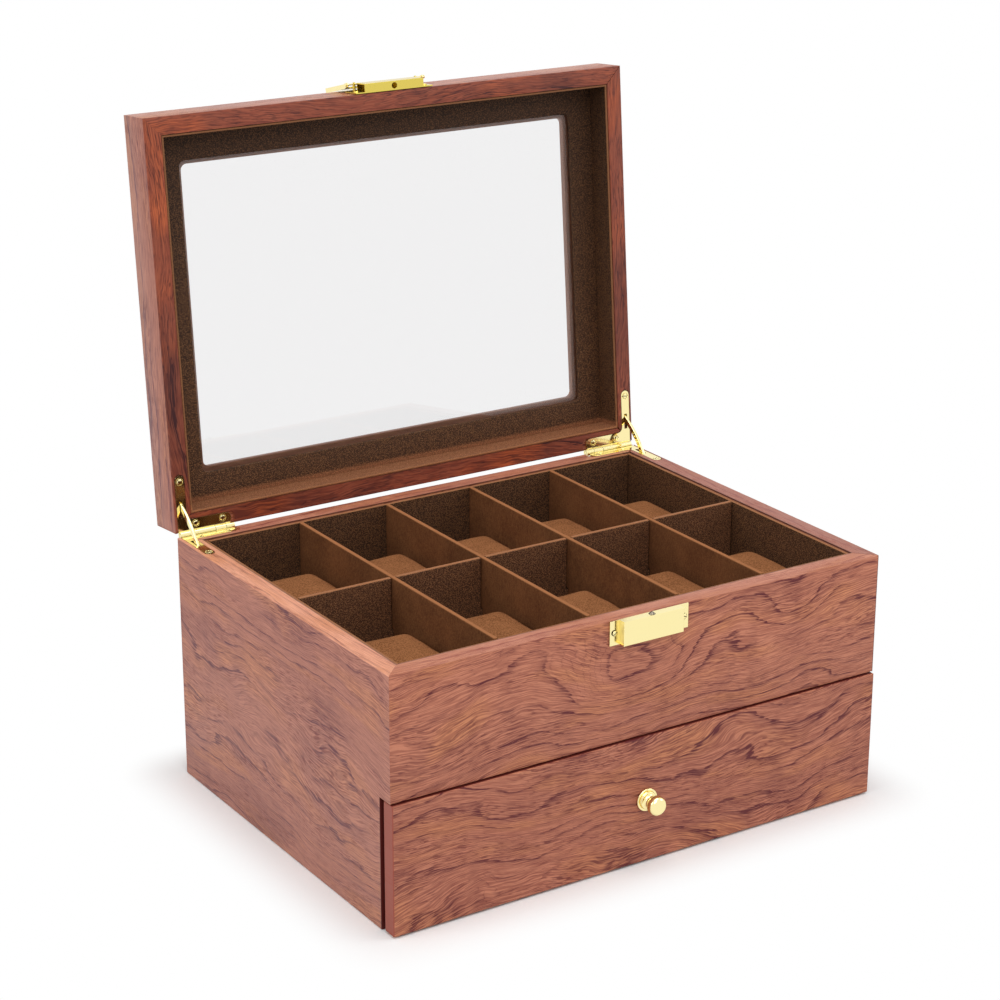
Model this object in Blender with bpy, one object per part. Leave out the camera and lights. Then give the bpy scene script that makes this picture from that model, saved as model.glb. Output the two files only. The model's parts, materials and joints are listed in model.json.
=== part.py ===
"""A watch display box: ten lined compartments under a glazed lid, with one drawer below them.

Metres, +Z up. The origin is the middle of the underside, and the drawer's front faces -Y.
At rest the drawer is shut and the lid leans back on its two quadrant stays.
Every piece is drawn as it lies in the closed box. The empties that carry the lid, the stays and
the flap are then turned to where they stand at rest.
"""

import math

import bmesh
import bpy
from mathutils import Matrix, Vector

# Clearances and shared values
fit_gap = 0.0003
metal_gap = 0.0002
overrun = 0.003
weld_distance = 0.000001
smooth_angle = math.radians(40)

# Case
box_width = 0.280
box_depth = 0.207
case_height = 0.129
wall = 0.0095
drawer_zone = 0.0667
edge_round = 0.0005

# Boards let into the case
dado_depth = 0.0035
tray_floor_rise = 0.002
tray_floor_thick = 0.004
bottom_board_thick = 0.004
felt_thick = 0.001

# Tray linings and dividers
lining_thick = 0.0018
lining_drop = 0.0006
floor_lining_thick = 0.0012
divider_thick = 0.0024
end_cell_spare = 0.0021
divider_drop = 0.0003
row_count = 2
column_count = 5

# Watch pillows
pillow_side_gap = 0.0023
pillow_length = 0.048
pillow_height = 0.036
pillow_crown = 0.0022
pillow_draw = 0.0014
pillow_edge = 0.0024
pillow_cuts = 3

# Lid
lid_height = 0.022
lid_wall = 0.0089
lid_gap = 0.0005
lid_open = math.radians(95)
lid_rabbet = 0.003
top_board_thick = 0.005
window_border = 0.0255
window_corner = 0.002
glass_thick = 0.002
glass_edge = 0.005
inner_frame_thick = 0.0015
lid_lining_thick = 0.001

# Hinges
hinge_setback = 0.0011
knuckle_radius = 0.002
knuckle_bore = 0.0011
pin_radius = 0.0009
leaf_thick = 0.0012
leaf_inset = 0.0015
leaf_side_width = 0.005
leaf_side_length = 0.0295
leaf_back_width = 0.0062
leaf_back_length = 0.031
leaf_recess_spare = 0.002
leaf_fillet = 0.003
barrel_inset = 0.002
corner_knuckle = 0.019
middle_knuckle = 0.0058
inner_knuckle = 0.0045
side_screw_reach = 0.0264
back_screw_reach = 0.0038
near_screw_inset = 0.0112
far_screw_inset = 0.0262

# Quadrant stays. The reach is from the hinge's axis to the middle of the arm when the box is shut
stay_curve = 0.0518
stay_shut_reach = 0.0108
stay_width = 0.0028
stay_thick = 0.0013
stay_hook_rise = 0.0008
stay_hook_length = 0.0018

# Hinge screws, flush in the leaves: a groove round each head, and a driver's slot across it
screw_head_radius = 0.0018
screw_groove = 0.0002
screw_groove_depth = 0.0003
screw_slot_width = 0.0004
screw_shank_radius = 0.00075
screw_length = 0.0072

# Catch
catch_width = 0.045
catch_height = 0.0122
catch_sheet = 0.0006
catch_block_width = 0.0344
catch_reach = 0.005
catch_edge = 0.0003
catch_screw_inset = 0.0026
catch_head_radius = 0.0015
catch_head_thick = 0.0006
catch_shank_radius = 0.0007
catch_screw_length = 0.0065
catch_screw_bite = 0.0001
ball_radius = 0.0016
ball_rise = 0.001
ball_travel = 0.001
ball_hole_spare = 0.0002
lid_block_height = 0.0083
lid_hole_radius = 0.0016

# Spring under the ball
spring_wire = 0.0002
spring_radius = 0.0011
spring_turns = 6
spring_points = 9

# Flap of the catch: a pressed pan whose two side flanges end in ears on the pin
flap_thick = 0.0008
flap_flange_depth = 0.0016
flap_ear_radius = 0.00105
flap_relief = 0.002
flap_pin_radius = 0.0005
flap_pin_setback = 0.001
flap_pin_space = 0.0003
flap_lug_radius = 0.001
flap_lug_thick = 0.0007
flap_pin_head_radius = 0.0009
flap_pin_head_thick = 0.0006
plate_margin = 0.001

# Drawer
drawer_proud = 0.0015
drawer_front_thick = 0.008
drawer_front_inset = 0.0002
drawer_front_lift = 0.0008
drawer_front_headroom = 0.0005
drawer_front_round = 0.0005
drawer_wall = 0.007
drawer_side_clearance = 0.0008
drawer_side_height = 0.055
drawer_back_clearance = 0.0012
drawer_bottom_thick = 0.003
drawer_bottom_rise = 0.003
drawer_groove = 0.0035
drawer_lining_thick = 0.001
drawer_lining_drop = 0.001

# Knob, as radius and height above the drawer's front
knob_flange_radius = 0.0058
knob_flange_height = 0.0012
knob_step_radius = 0.0044
knob_step_height = 0.0028
knob_neck_radius = 0.0026
knob_head_start = 0.0058
knob_head_radius = 0.0049
knob_length = 0.0112
knob_head_round = 0.0024
knob_screw_radius = 0.0018
knob_screw_depth = 0.006
knob_screw_head_radius = 0.0034
knob_screw_head_thick = 0.0016

# Places worked out from the sizes above
half_width = box_width / 2
half_depth = box_depth / 2
mitre_back = fit_gap / math.sqrt(2)
hinge_y = half_depth + hinge_setback
hinge_z = case_height + lid_gap / 2
rim_z = case_height + lid_gap
lid_top_z = rim_z + lid_height
leaf_side_x = half_width - leaf_inset - leaf_side_width / 2
tray_half_width = half_width - wall - fit_gap - lining_thick
tray_half_depth = half_depth - wall - fit_gap - lining_thick
divider_pitch = (2 * (tray_half_width - end_cell_spare) + divider_thick) / column_count
pillow_width = divider_pitch - divider_thick - 2 * pillow_side_gap
tray_floor_low = drawer_zone + tray_floor_rise
tray_floor_high = tray_floor_low + tray_floor_thick
lining_low = tray_floor_high + fit_gap
lining_high = case_height - lining_drop
floor_lining_high = lining_low + floor_lining_thick
divider_low = floor_lining_high + fit_gap
divider_high = case_height - divider_drop
board_low = felt_thick + fit_gap
board_high = board_low + bottom_board_thick
drawer_low = board_high + fit_gap
drawer_front_back = -half_depth - drawer_proud + drawer_front_thick
drawer_end = half_depth - wall - drawer_back_clearance
drawer_half = half_width - wall - drawer_side_clearance
knob_z = (drawer_front_lift + drawer_zone - drawer_front_headroom) / 2
catch_front = -half_depth - catch_reach
catch_back = -half_depth - fit_gap
catch_low = case_height - catch_height
flap_inner = catch_front - fit_gap
flap_outer = flap_inner - flap_thick
flap_pin_y = flap_inner + flap_pin_setback
flap_pin_z = rim_z + lid_block_height + flap_pin_space + flap_lug_radius

# The stay's curve: its centre behind the hinge, and where it crosses the leaves in the open box
stay_setback = stay_curve - stay_shut_reach
stay_side = stay_setback * math.sin(lid_open / 2)
stay_open_reach = math.sqrt(stay_curve**2 - stay_side**2) - stay_setback * math.cos(lid_open / 2)
stay_crossing = math.asin(stay_open_reach * math.sin(lid_open / 2) / stay_curve)
stay_tilt = lid_open / 2 - stay_crossing
leaf_depth = leaf_thick + lid_gap / 2
stay_hook_reach = stay_width / 2 + stay_hook_rise
stay_neck = (leaf_depth + fit_gap + stay_hook_reach * math.sin(stay_tilt)) / math.cos(stay_tilt)
stay_hook_turn = stay_crossing + stay_neck / stay_curve
stay_end_turn = stay_hook_turn + stay_hook_length / stay_curve
slot_near = stay_shut_reach - stay_width / 2 - fit_gap
slot_lean = leaf_depth * math.tan(stay_tilt) + stay_width / (2 * math.cos(stay_tilt))
slot_far = stay_open_reach + slot_lean + fit_gap


def flap_lean():
    """The turn past the straight at which the thrown-back flap rests on the lid's edge."""
    out = -half_depth - flap_pin_y
    along = lid_top_z - flap_pin_z
    rest = flap_pin_y - flap_outer + fit_gap
    return math.acos(rest / math.hypot(out, along)) - math.atan2(along, out)


# Finishes: linear colour, roughness and metallic value of each kind of surface
FINISHES = {
    "case veneer": ((0.36, 0.140, 0.095), 0.40, 0.0),
    "lid veneer": ((0.27, 0.070, 0.035), 0.38, 0.0),
    "drawer wood": ((0.30, 0.130, 0.080), 0.50, 0.0),
    "leatherette": ((0.050, 0.022, 0.010), 0.55, 0.0),
    "suede": ((0.110, 0.050, 0.025), 0.95, 0.0),
    "pillow suede": ((0.230, 0.110, 0.048), 0.95, 0.0),
    "felt": ((0.030, 0.020, 0.015), 1.00, 0.0),
    "brass": ((0.85, 0.620, 0.230), 0.18, 1.0),
    "steel": ((0.55, 0.550, 0.560), 0.30, 1.0),
    "glass": ((0.90, 0.930, 0.930), 0.03, 0.0),
}

# Bodies: each holds the empty that carries its pieces, and where that empty is in the closed box
BODIES = {}
PIVOTS = {}


def clear_scene():
    for obj in list(bpy.data.objects):
        bpy.data.objects.remove(obj)


def add_body(name, pivot, carrier=None, turn=0.0):
    """Adds the empty of a body, on its joint's axis, turned back about X to where it rests."""
    empty = bpy.data.objects.new(name, None)
    bpy.context.collection.objects.link(empty)
    BODIES[name] = empty
    PIVOTS[name] = Vector(pivot)
    empty.location = PIVOTS[name]
    if carrier:
        empty.parent = BODIES[carrier]
        empty.location = PIVOTS[name] - PIVOTS[carrier]
    empty.rotation_euler.x = -turn


def add_bodies():
    hinge = (0, hinge_y, hinge_z)
    add_body("case_body", (0, 0, 0))
    add_body("drawer_body", (0, drawer_front_back, knob_z))
    add_body("ball_body", (0, (catch_front + catch_back) / 2, case_height))
    add_body("lid_body", hinge, turn=lid_open)
    add_body("left_stay_body", hinge, turn=lid_open / 2)
    add_body("right_stay_body", hinge, turn=lid_open / 2)
    flap_pin = (0, flap_pin_y, flap_pin_z)
    add_body("flap_body", flap_pin, "lid_body", math.pi + flap_lean())


# Shapes


def spot(axis, first, second, along):
    """The point with the two coordinates across an axis and the one along it."""
    if axis == "X":
        return Vector((along, first, second))
    if axis == "Y":
        return Vector((first, along, second))
    return Vector((first, second, along))


def box(low, high):
    shape = bmesh.new()
    bmesh.ops.create_cube(shape, size=1.0)
    low = Vector(low)
    high = Vector(high)
    bmesh.ops.scale(shape, vec=high - low, verts=shape.verts)
    bmesh.ops.translate(shape, vec=(low + high) / 2, verts=shape.verts)
    return shape


def grown_box(low, high, gap):
    spare = Vector((gap, gap, gap))
    return box(Vector(low) - spare, Vector(high) + spare)


def prism(outline, axis, start, end):
    """An outline across an axis, extruded along it."""
    shape = bmesh.new()
    corners = [shape.verts.new(spot(axis, first, second, start)) for first, second in outline]
    face = shape.faces.new(corners)
    grown = bmesh.ops.extrude_face_region(shape, geom=[face])
    moved = [item for item in grown["geom"] if isinstance(item, bmesh.types.BMVert)]
    bmesh.ops.translate(shape, vec=spot(axis, 0, 0, end - start), verts=moved)
    return shape


def arc(centre, radius, start, end, steps):
    """Points on an arc of a plane, from one angle to another."""
    turns = [start + (end - start) * step / steps for step in range(steps + 1)]
    return [(centre[0] + radius * math.cos(t), centre[1] + radius * math.sin(t)) for t in turns]


def revolve(profile, origin, direction, segments=16):
    """A profile of radius and height, spun about the direction through the origin."""
    shape = bmesh.new()
    points = [shape.verts.new((radius, 0, height)) for radius, height in profile]
    edges = [shape.edges.new(pair) for pair in zip(points, points[1:])]
    bmesh.ops.spin(
        shape,
        geom=points + edges,
        cent=(0, 0, 0),
        axis=(0, 0, 1),
        angle=math.tau,
        steps=segments,
        use_merge=True,
    )
    bmesh.ops.remove_doubles(shape, verts=shape.verts, dist=weld_distance)
    turn = Vector((0, 0, 1)).rotation_difference(Vector(direction)).to_matrix().to_4x4()
    place = Matrix.Translation(Vector(origin)) @ turn
    bmesh.ops.transform(shape, matrix=place, verts=shape.verts)
    return shape


def rod(start, end, radius, segments=16):
    start = Vector(start)
    along = Vector(end) - start
    profile = [(0, 0), (radius, 0), (radius, along.length), (0, along.length)]
    return revolve(profile, start, along, segments)


def merged(shapes):
    """Several separate shapes in one mesh."""
    whole = bmesh.new()
    for shape in shapes:
        bmesh.ops.recalc_face_normals(shape, faces=shape.faces)
        part = bpy.data.meshes.new("part")
        shape.to_mesh(part)
        shape.free()
        whole.from_mesh(part)
        bpy.data.meshes.remove(part)
    return whole


def rounded_rectangle(half_x, half_y, radius, steps=4):
    quarter = math.pi / 2
    centres = [(1, 1), (-1, 1), (-1, -1), (1, -1)]
    points = []
    for number, (sign_x, sign_y) in enumerate(centres):
        centre = (sign_x * (half_x - radius), sign_y * (half_y - radius))
        points += arc(centre, radius, number * quarter, (number + 1) * quarter, steps)
    return points


# Objects


def add_object(name, shape, body):
    bmesh.ops.recalc_face_normals(shape, faces=shape.faces)
    bmesh.ops.translate(shape, vec=-PIVOTS[body], verts=shape.verts)
    mesh = bpy.data.meshes.new(name)
    shape.to_mesh(mesh)
    shape.free()
    obj = bpy.data.objects.new(name, mesh)
    bpy.context.collection.objects.link(obj)
    obj.parent = BODIES[body]
    return obj


def add_finish(obj, kind):
    colour, roughness, metallic = FINISHES[kind]
    material = bpy.data.materials.new(obj.name + "_finish")
    material.use_nodes = True
    shader = material.node_tree.nodes["Principled BSDF"]
    shader.inputs["Base Color"].default_value = (*colour, 1)
    shader.inputs["Roughness"].default_value = roughness
    shader.inputs["Metallic"].default_value = metallic
    shader.inputs["Transmission Weight"].default_value = 1 if kind == "glass" else 0
    obj.data.materials.append(material)


def add_piece(name, shape, body, kind, smooth=False):
    obj = add_object(name, shape, body)
    add_finish(obj, kind)
    if smooth:
        obj.data.shade_smooth()
        obj.data.set_sharp_from_angle(angle=smooth_angle)
    return obj


def add_cutter(name, shape, body):
    obj = add_object(name + "_cutter", shape, body)
    obj.hide_render = True
    obj.display_type = "WIRE"
    return obj


def combine(obj, tool, operation):
    modifier = obj.modifiers.new(tool.name, "BOOLEAN")
    modifier.operation = operation
    modifier.solver = "EXACT"
    modifier.object = tool


def cut(obj, *tools):
    for tool in tools:
        combine(obj, tool, "DIFFERENCE")


def join(obj, *tools):
    for tool in tools:
        combine(obj, tool, "UNION")


def round_edges(shape, edges, radius, segments=2):
    bmesh.ops.bevel(
        shape,
        geom=edges,
        offset=radius,
        segments=segments,
        profile=0.5,
        affect="EDGES",
    )


# Mitred panels and rails


def mitre_plan(side, thickness):
    """The plan of one of four pieces that meet in mitred corners."""
    outer = half_width - mitre_back
    inner = half_width - thickness - mitre_back
    face = half_depth
    if side in ("left", "right"):
        outer = half_depth - mitre_back
        inner = half_depth - thickness - mitre_back
        face = half_width
    plan = [(-outer, face), (outer, face), (inner, face - thickness), (-inner, face - thickness)]
    if side == "back":
        return plan
    if side == "front":
        return [(x, -y) for x, y in plan]
    if side == "right":
        return [(y, x) for x, y in plan]
    return [(-y, x) for x, y in plan]


def mitred(side, thickness, low, high):
    """A mitred piece, its long outer edges slightly rounded."""
    shape = prism(mitre_plan(side, thickness), "Z", low, high)
    across = 0 if side in ("left", "right") else 1
    reach = (half_width, half_depth)[across]

    def on_face(vert):
        return abs(abs(vert.co[across]) - reach) < weld_distance

    def is_level(edge):
        first, second = edge.verts
        return abs(first.co.z - second.co.z) < weld_distance

    outer = [edge for edge in shape.edges if all(map(on_face, edge.verts)) and is_level(edge)]
    round_edges(shape, outer, edge_round)
    return shape


# Places of the hinge pieces


def leaf_outline(sign, grow, back, longer=0.0):
    """The plan of a hinge leaf, an L whose two legs have round ends."""
    side_end = (leaf_side_x, half_depth - leaf_side_length + leaf_side_width / 2)
    side_radius = leaf_side_width / 2 + grow
    inner_x = leaf_side_x - side_radius
    outer_x = leaf_side_x + side_radius
    back_radius = leaf_back_width / 2 + grow
    back_end_x = half_width - leaf_back_length - longer + leaf_back_width / 2
    back_end = (back_end_x, half_depth - leaf_back_width / 2)
    inner_y = back_end[1] - back_radius
    fillet = (inner_x - leaf_fillet, inner_y - leaf_fillet)
    points = [(outer_x, back)]
    points += arc(side_end, side_radius, 0, -math.pi, 8)
    points += arc(fillet, leaf_fillet, 0, math.pi / 2, 4)
    points += arc(back_end, back_radius, -math.pi / 2, -3 * math.pi / 2, 8)
    if back > back_end[1] + back_radius:
        points += [(back_end[0], back)]
    return [(sign * x, y) for x, y in points]


def knuckle_spans():
    """Where each knuckle of a barrel starts and ends, measured in from the box's side."""
    spans = []
    start = barrel_inset
    for length in (corner_knuckle, middle_knuckle, inner_knuckle):
        spans.append((start, start + length))
        start += length + metal_gap
    return spans


def barrel_rod(sign, span, radius, spare=0.0, segments=16):
    """A rod on the hinge's axis, along a span measured in from the box's side."""
    near = sign * (half_width - span[0] + spare)
    far = sign * (half_width - span[1] - spare)
    return rod((near, hinge_y, hinge_z), (far, hinge_y, hinge_z), radius, segments)


def stay_arc(radius, start, end, steps):
    """Points about the centre of the stay's curve. The angles rise from the rim towards the lid."""
    centre = (hinge_y + stay_setback, hinge_z)
    return arc(centre, radius, math.pi - start, math.pi - end, steps)


def stay_prism(sign, outline, thick):
    middle = sign * leaf_side_x
    return prism(outline, "X", middle - thick / 2, middle + thick / 2)


def stay_mortise(sign, way):
    """The space that the stay sweeps, in the lid where the way is +1 and else in the case."""
    end = stay_end_turn + fit_gap / stay_curve
    near = stay_arc(stay_curve - stay_width / 2 - fit_gap, 0, end, 8)
    corner = stay_arc(stay_curve + stay_hook_reach + fit_gap, end, end, 1)[0]
    reach = math.dist(corner, (hinge_y, hinge_z))
    rise = math.atan2(corner[1] - hinge_z, hinge_y - corner[0])
    far = arc((hinge_y, hinge_z), reach, math.pi - rise, math.pi, 8)
    outline = [(y, hinge_z + way * (z - hinge_z)) for y, z in near + far]
    return stay_prism(sign, outline, stay_thick + 2 * fit_gap)


def leaf_screw_spots(sign):
    back_y = half_depth - back_screw_reach
    return [
        (sign * leaf_side_x, half_depth - side_screw_reach),
        (sign * (half_width - near_screw_inset), back_y),
        (sign * (half_width - far_screw_inset), back_y),
    ]


def screw_head_cuts(place, face, way):
    """The groove round a flush screw head and the slot across it. The way is +1 where it points up."""
    inner = screw_head_radius
    outer = inner + screw_groove
    low = -overrun
    high = screw_groove_depth
    ring = [(inner, low), (outer, low), (outer, high), (inner, high), (inner, low)]
    groove = revolve(ring, (*place, face), (0, 0, way), 12)
    ends = sorted((face - way * overrun, face + way * screw_groove_depth))
    half_slot = screw_slot_width / 2
    low_corner = (place[0] - inner - half_slot, place[1] - half_slot, ends[0])
    high_corner = (place[0] + inner + half_slot, place[1] + half_slot, ends[1])
    return groove, box(low_corner, high_corner)


def screw_shank(place, face, way, spare=0.0):
    """A hinge screw's shank from inside its leaf, or, with spare, the hole for it."""
    start = face + way * (0 if spare else leaf_thick / 2)
    end = face + way * (screw_length + spare)
    return rod((*place, start), (*place, end), screw_shank_radius + spare, 10)


# The case


def add_case_panels():
    names = {
        "left": "left_side_panel",
        "right": "right_side_panel",
        "back": "back_panel",
        "front": "upper_front_panel",
    }
    panels = {}
    for side, name in names.items():
        low = drawer_zone if side == "front" else 0
        shape = mitred(side, wall, low, case_height)
        panels[side] = add_piece(name, shape, "case_body", "case veneer")
    notch = add_cutter(
        "drawer_front_notch",
        box(
            (-half_width - overrun, -half_depth - overrun, -overrun),
            (half_width + overrun, -half_depth + wall, drawer_zone),
        ),
        "case_body",
    )
    cut(panels["left"], notch)
    cut(panels["right"], notch)
    return panels


def add_boards(panels):
    """The tray's floor in its grooves, the bottom board in its rabbet, and the felt below it."""
    reach_x = half_width - wall + dado_depth - fit_gap
    reach_y = half_depth - wall + dado_depth - fit_gap
    floor_low = (-reach_x, -reach_y, tray_floor_low)
    floor_high = (reach_x, reach_y, tray_floor_high)
    add_piece("tray_floor", box(floor_low, floor_high), "case_body", "drawer wood")
    dado = add_cutter("tray_floor_dado", grown_box(floor_low, floor_high, fit_gap), "case_body")
    front_end = -half_depth + wall
    board = ((-reach_x, front_end, board_low), (reach_x, reach_y, board_high))
    add_piece("bottom_board", box(*board), "case_body", "drawer wood")
    rabbet = add_cutter(
        "bottom_board_rabbet",
        box(
            (-reach_x - fit_gap, front_end - overrun, -overrun),
            (reach_x + fit_gap, reach_y + fit_gap, board_high + fit_gap),
        ),
        "case_body",
    )
    add_piece("base_felt", box((-reach_x, front_end, 0), (reach_x, reach_y, felt_thick)), "case_body", "felt")
    for panel in panels.values():
        cut(panel, dado)
    for side in ("left", "right", "back"):
        cut(panels[side], rabbet)


def add_tray_linings():
    """Leatherette-covered boards on the tray's walls and floor."""
    outer_x = tray_half_width + lining_thick
    outer_y = tray_half_depth + lining_thick
    for name, sign in (("left", -1), ("right", 1)):
        ends = sorted((sign * tray_half_width, sign * outer_x))
        shape = box((ends[0], -outer_y, lining_low), (ends[1], outer_y, lining_high))
        add_piece(name + "_wall_lining", shape, "case_body", "leatherette")
    reach = tray_half_width - fit_gap
    for name, sign in (("front", -1), ("back", 1)):
        ends = sorted((sign * tray_half_depth, sign * outer_y))
        shape = box((-reach, ends[0], lining_low), (reach, ends[1], lining_high))
        add_piece(name + "_wall_lining", shape, "case_body", "leatherette")
    deep = tray_half_depth - fit_gap
    shape = box((-reach, -deep, lining_low), (reach, deep, floor_lining_high))
    add_piece("tray_floor_lining", shape, "case_body", "leatherette")


def divider_places():
    """The middle of each long divider, from left to right."""
    gaps = column_count - 1
    return [(number - (gaps - 1) / 2) * divider_pitch for number in range(gaps)]


def add_dividers():
    """One cross divider and the long dividers, half-lapped where they meet."""
    half_thick = divider_thick / 2
    lap = (divider_low + divider_high) / 2
    reach_x = tray_half_width - fit_gap
    reach_y = tray_half_depth - fit_gap
    cross_shape = box((-reach_x, -half_thick, divider_low), (reach_x, half_thick, divider_high))
    cross = add_piece("cross_divider", cross_shape, "case_body", "suede")
    below = add_cutter(
        "cross_divider_slot",
        box(
            (-reach_x, -half_thick - fit_gap, divider_low - overrun),
            (reach_x, half_thick + fit_gap, lap + fit_gap / 2),
        ),
        "case_body",
    )
    slots = []
    for number, x in enumerate(divider_places()):
        shape = box((x - half_thick, -reach_y, divider_low), (x + half_thick, reach_y, divider_high))
        long_divider = add_piece(f"long_divider_{number + 1}", shape, "case_body", "suede")
        cut(long_divider, below)
        low = (x - half_thick - fit_gap, -half_thick - overrun, lap - fit_gap / 2)
        high = (x + half_thick + fit_gap, half_thick + overrun, divider_high + overrun)
        slots.append(box(low, high))
    cut(cross, add_cutter("long_divider_slots", merged(slots), "case_body"))


# Watch pillows


def pillow_shape(middle):
    """A stuffed block: its top is crowned, its sides pull in between the corners."""
    shape = bmesh.new()
    bmesh.ops.create_cube(shape, size=2.0)
    bmesh.ops.subdivide_edges(shape, edges=shape.edges, cuts=pillow_cuts, use_grid_fill=True)
    half = Vector((pillow_width / 2, pillow_length / 2, pillow_height / 2))
    corners = [edge for edge in shape.edges if is_box_edge(edge)]
    for vert in shape.verts:
        across, along, up = vert.co
        hollow_x = (1 - along**2) * (1 - up**2 / 2)
        hollow_y = (1 - across**2) * (1 - up**2 / 2)
        crown = (1 - across**2) * (1 - along**2) * max(up, 0)
        vert.co = Vector(
            (
                across * (half.x - pillow_draw * hollow_x),
                along * (half.y - pillow_draw * hollow_y),
                up * half.z + crown * pillow_crown,
            )
        )
    round_edges(shape, corners, pillow_edge)
    bmesh.ops.translate(shape, vec=Vector(middle), verts=shape.verts)
    return shape


def is_box_edge(edge):
    """True on the twelve outer edges of the unit cube, before it is shaped."""
    middle = (edge.verts[0].co + edge.verts[1].co) / 2
    return sum(abs(abs(value) - 1) < weld_distance for value in middle) == 2


def cell_places():
    """The middle of each compartment, row by row from the front, left to right."""
    edges = [-tray_half_width - divider_thick / 2]
    edges += divider_places()
    edges += [tray_half_width + divider_thick / 2]
    columns = [(low + high) / 2 for low, high in zip(edges, edges[1:])]
    row = (tray_half_depth + divider_thick / 2) / row_count
    return [(x, y) for y in (-row, row) for x in columns]


def add_pillows():
    middle_z = floor_lining_high + fit_gap + pillow_height / 2
    for number, (x, y) in enumerate(cell_places()):
        name = f"watch_pillow_{number + 1:02d}"
        add_body(name + "_body", (x, y, floor_lining_high))
        add_piece(name, pillow_shape((x, y, middle_z)), name + "_body", "pillow suede", smooth=True)


# The lid


def add_lid_rails():
    rails = {}
    for side in ("left", "right", "front", "back"):
        shape = mitred(side, lid_wall, rim_z, lid_top_z)
        rails[side] = add_piece(f"lid_{side}_rail", shape, "lid_body", "lid veneer")
    return rails


def add_lid_top(rails):
    """The window board in the rails' rabbet, the glass in its rebate, and the frame that holds it."""
    reach_x = half_width - lid_wall + lid_rabbet - fit_gap
    reach_y = half_depth - lid_wall + lid_rabbet - fit_gap
    board_under = lid_top_z - top_board_thick
    board = box((-reach_x, -reach_y, board_under), (reach_x, reach_y, lid_top_z))
    top = add_piece("lid_top_frame", board, "lid_body", "lid veneer")
    rabbet = add_cutter(
        "lid_rabbet",
        box(
            (-reach_x - fit_gap, -reach_y - fit_gap, board_under - fit_gap),
            (reach_x + fit_gap, reach_y + fit_gap, lid_top_z + overrun),
        ),
        "lid_body",
    )
    for rail in rails.values():
        cut(rail, rabbet)
    open_x = half_width - window_border
    open_y = half_depth - window_border
    outline = rounded_rectangle(open_x, open_y, window_corner)
    window = add_cutter(
        "window",
        prism(outline, "Z", board_under - inner_frame_thick - overrun, lid_top_z + overrun),
        "lid_body",
    )
    glass_x = open_x + glass_edge - fit_gap
    glass_y = open_y + glass_edge - fit_gap
    glass_high = board_under + glass_thick
    add_piece(
        "glass_pane",
        box((-glass_x, -glass_y, board_under), (glass_x, glass_y, glass_high)),
        "lid_body",
        "glass",
    )
    rebate = add_cutter(
        "glass_rebate",
        box(
            (-glass_x - fit_gap, -glass_y - fit_gap, board_under - overrun),
            (glass_x + fit_gap, glass_y + fit_gap, glass_high + fit_gap),
        ),
        "lid_body",
    )
    cut(top, window, rebate)
    frame_x = half_width - lid_wall - fit_gap
    frame_y = half_depth - lid_wall - fit_gap
    frame_high = board_under - fit_gap
    frame_low = frame_high - inner_frame_thick
    inner = add_piece(
        "lid_inner_frame",
        box((-frame_x, -frame_y, frame_low), (frame_x, frame_y, frame_high)),
        "lid_body",
        "leatherette",
    )
    cut(inner, window)
    lining = add_piece(
        "lid_wall_lining",
        box((-frame_x, -frame_y, rim_z + fit_gap), (frame_x, frame_y, frame_low - fit_gap)),
        "lid_body",
        "leatherette",
    )
    hollow_x = frame_x - lid_lining_thick
    hollow_y = frame_y - lid_lining_thick
    hollow = add_cutter(
        "lid_hollow",
        box((-hollow_x, -hollow_y, rim_z - overrun), (hollow_x, hollow_y, frame_low + overrun)),
        "lid_body",
    )
    cut(lining, hollow)


# The hinges and stays


def add_leaf(name, sign, body):
    """One L-shaped leaf with its knuckles, its slot for the stay and its three flush screws."""
    in_lid = body == "lid_body"
    low = rim_z if in_lid else case_height - leaf_thick
    face = rim_z if in_lid else case_height
    way = 1 if in_lid else -1
    spans = knuckle_spans()
    own = [spans[0], spans[2]] if in_lid else [spans[1]]
    others = [spans[1]] if in_lid else [spans[0], spans[2]]
    outline = leaf_outline(sign, 0, half_depth)
    leaf = add_piece(name, prism(outline, "Z", low, low + leaf_thick), body, "brass", smooth=True)
    knuckles = merged([barrel_rod(sign, span, knuckle_radius) for span in own])
    spots = leaf_screw_spots(sign)
    shanks = merged([screw_shank(place, face, way) for place in spots])
    slot_low = low - overrun
    slot_high = low + leaf_thick + overrun
    near = hinge_y - slot_near
    far = hinge_y - slot_far
    slot_outline = [(near, slot_low), (near, slot_high), (far, slot_high), (far, slot_low)]
    slot = stay_prism(sign, slot_outline, stay_thick + 2 * fit_gap)
    clear = [barrel_rod(sign, span, knuckle_radius + fit_gap, metal_gap / 2) for span in others]
    whole = (spans[0][0] - overrun, spans[-1][1] + overrun)
    bore = barrel_rod(sign, whole, knuckle_bore)
    grooves, slots = zip(*[screw_head_cuts(place, face, way) for place in spots])
    cut(
        leaf,
        add_cutter(name + "_screw_grooves", merged(grooves), body),
        add_cutter(name + "_screw_slots", merged(slots), body),
        add_cutter(name + "_clearance", merged(clear + [slot]), body),
    )
    join(leaf, add_cutter(name + "_shanks", shanks, body), add_cutter(name + "_knuckles", knuckles, body))
    cut(leaf, add_cutter(name + "_bore", bore, body))


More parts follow.
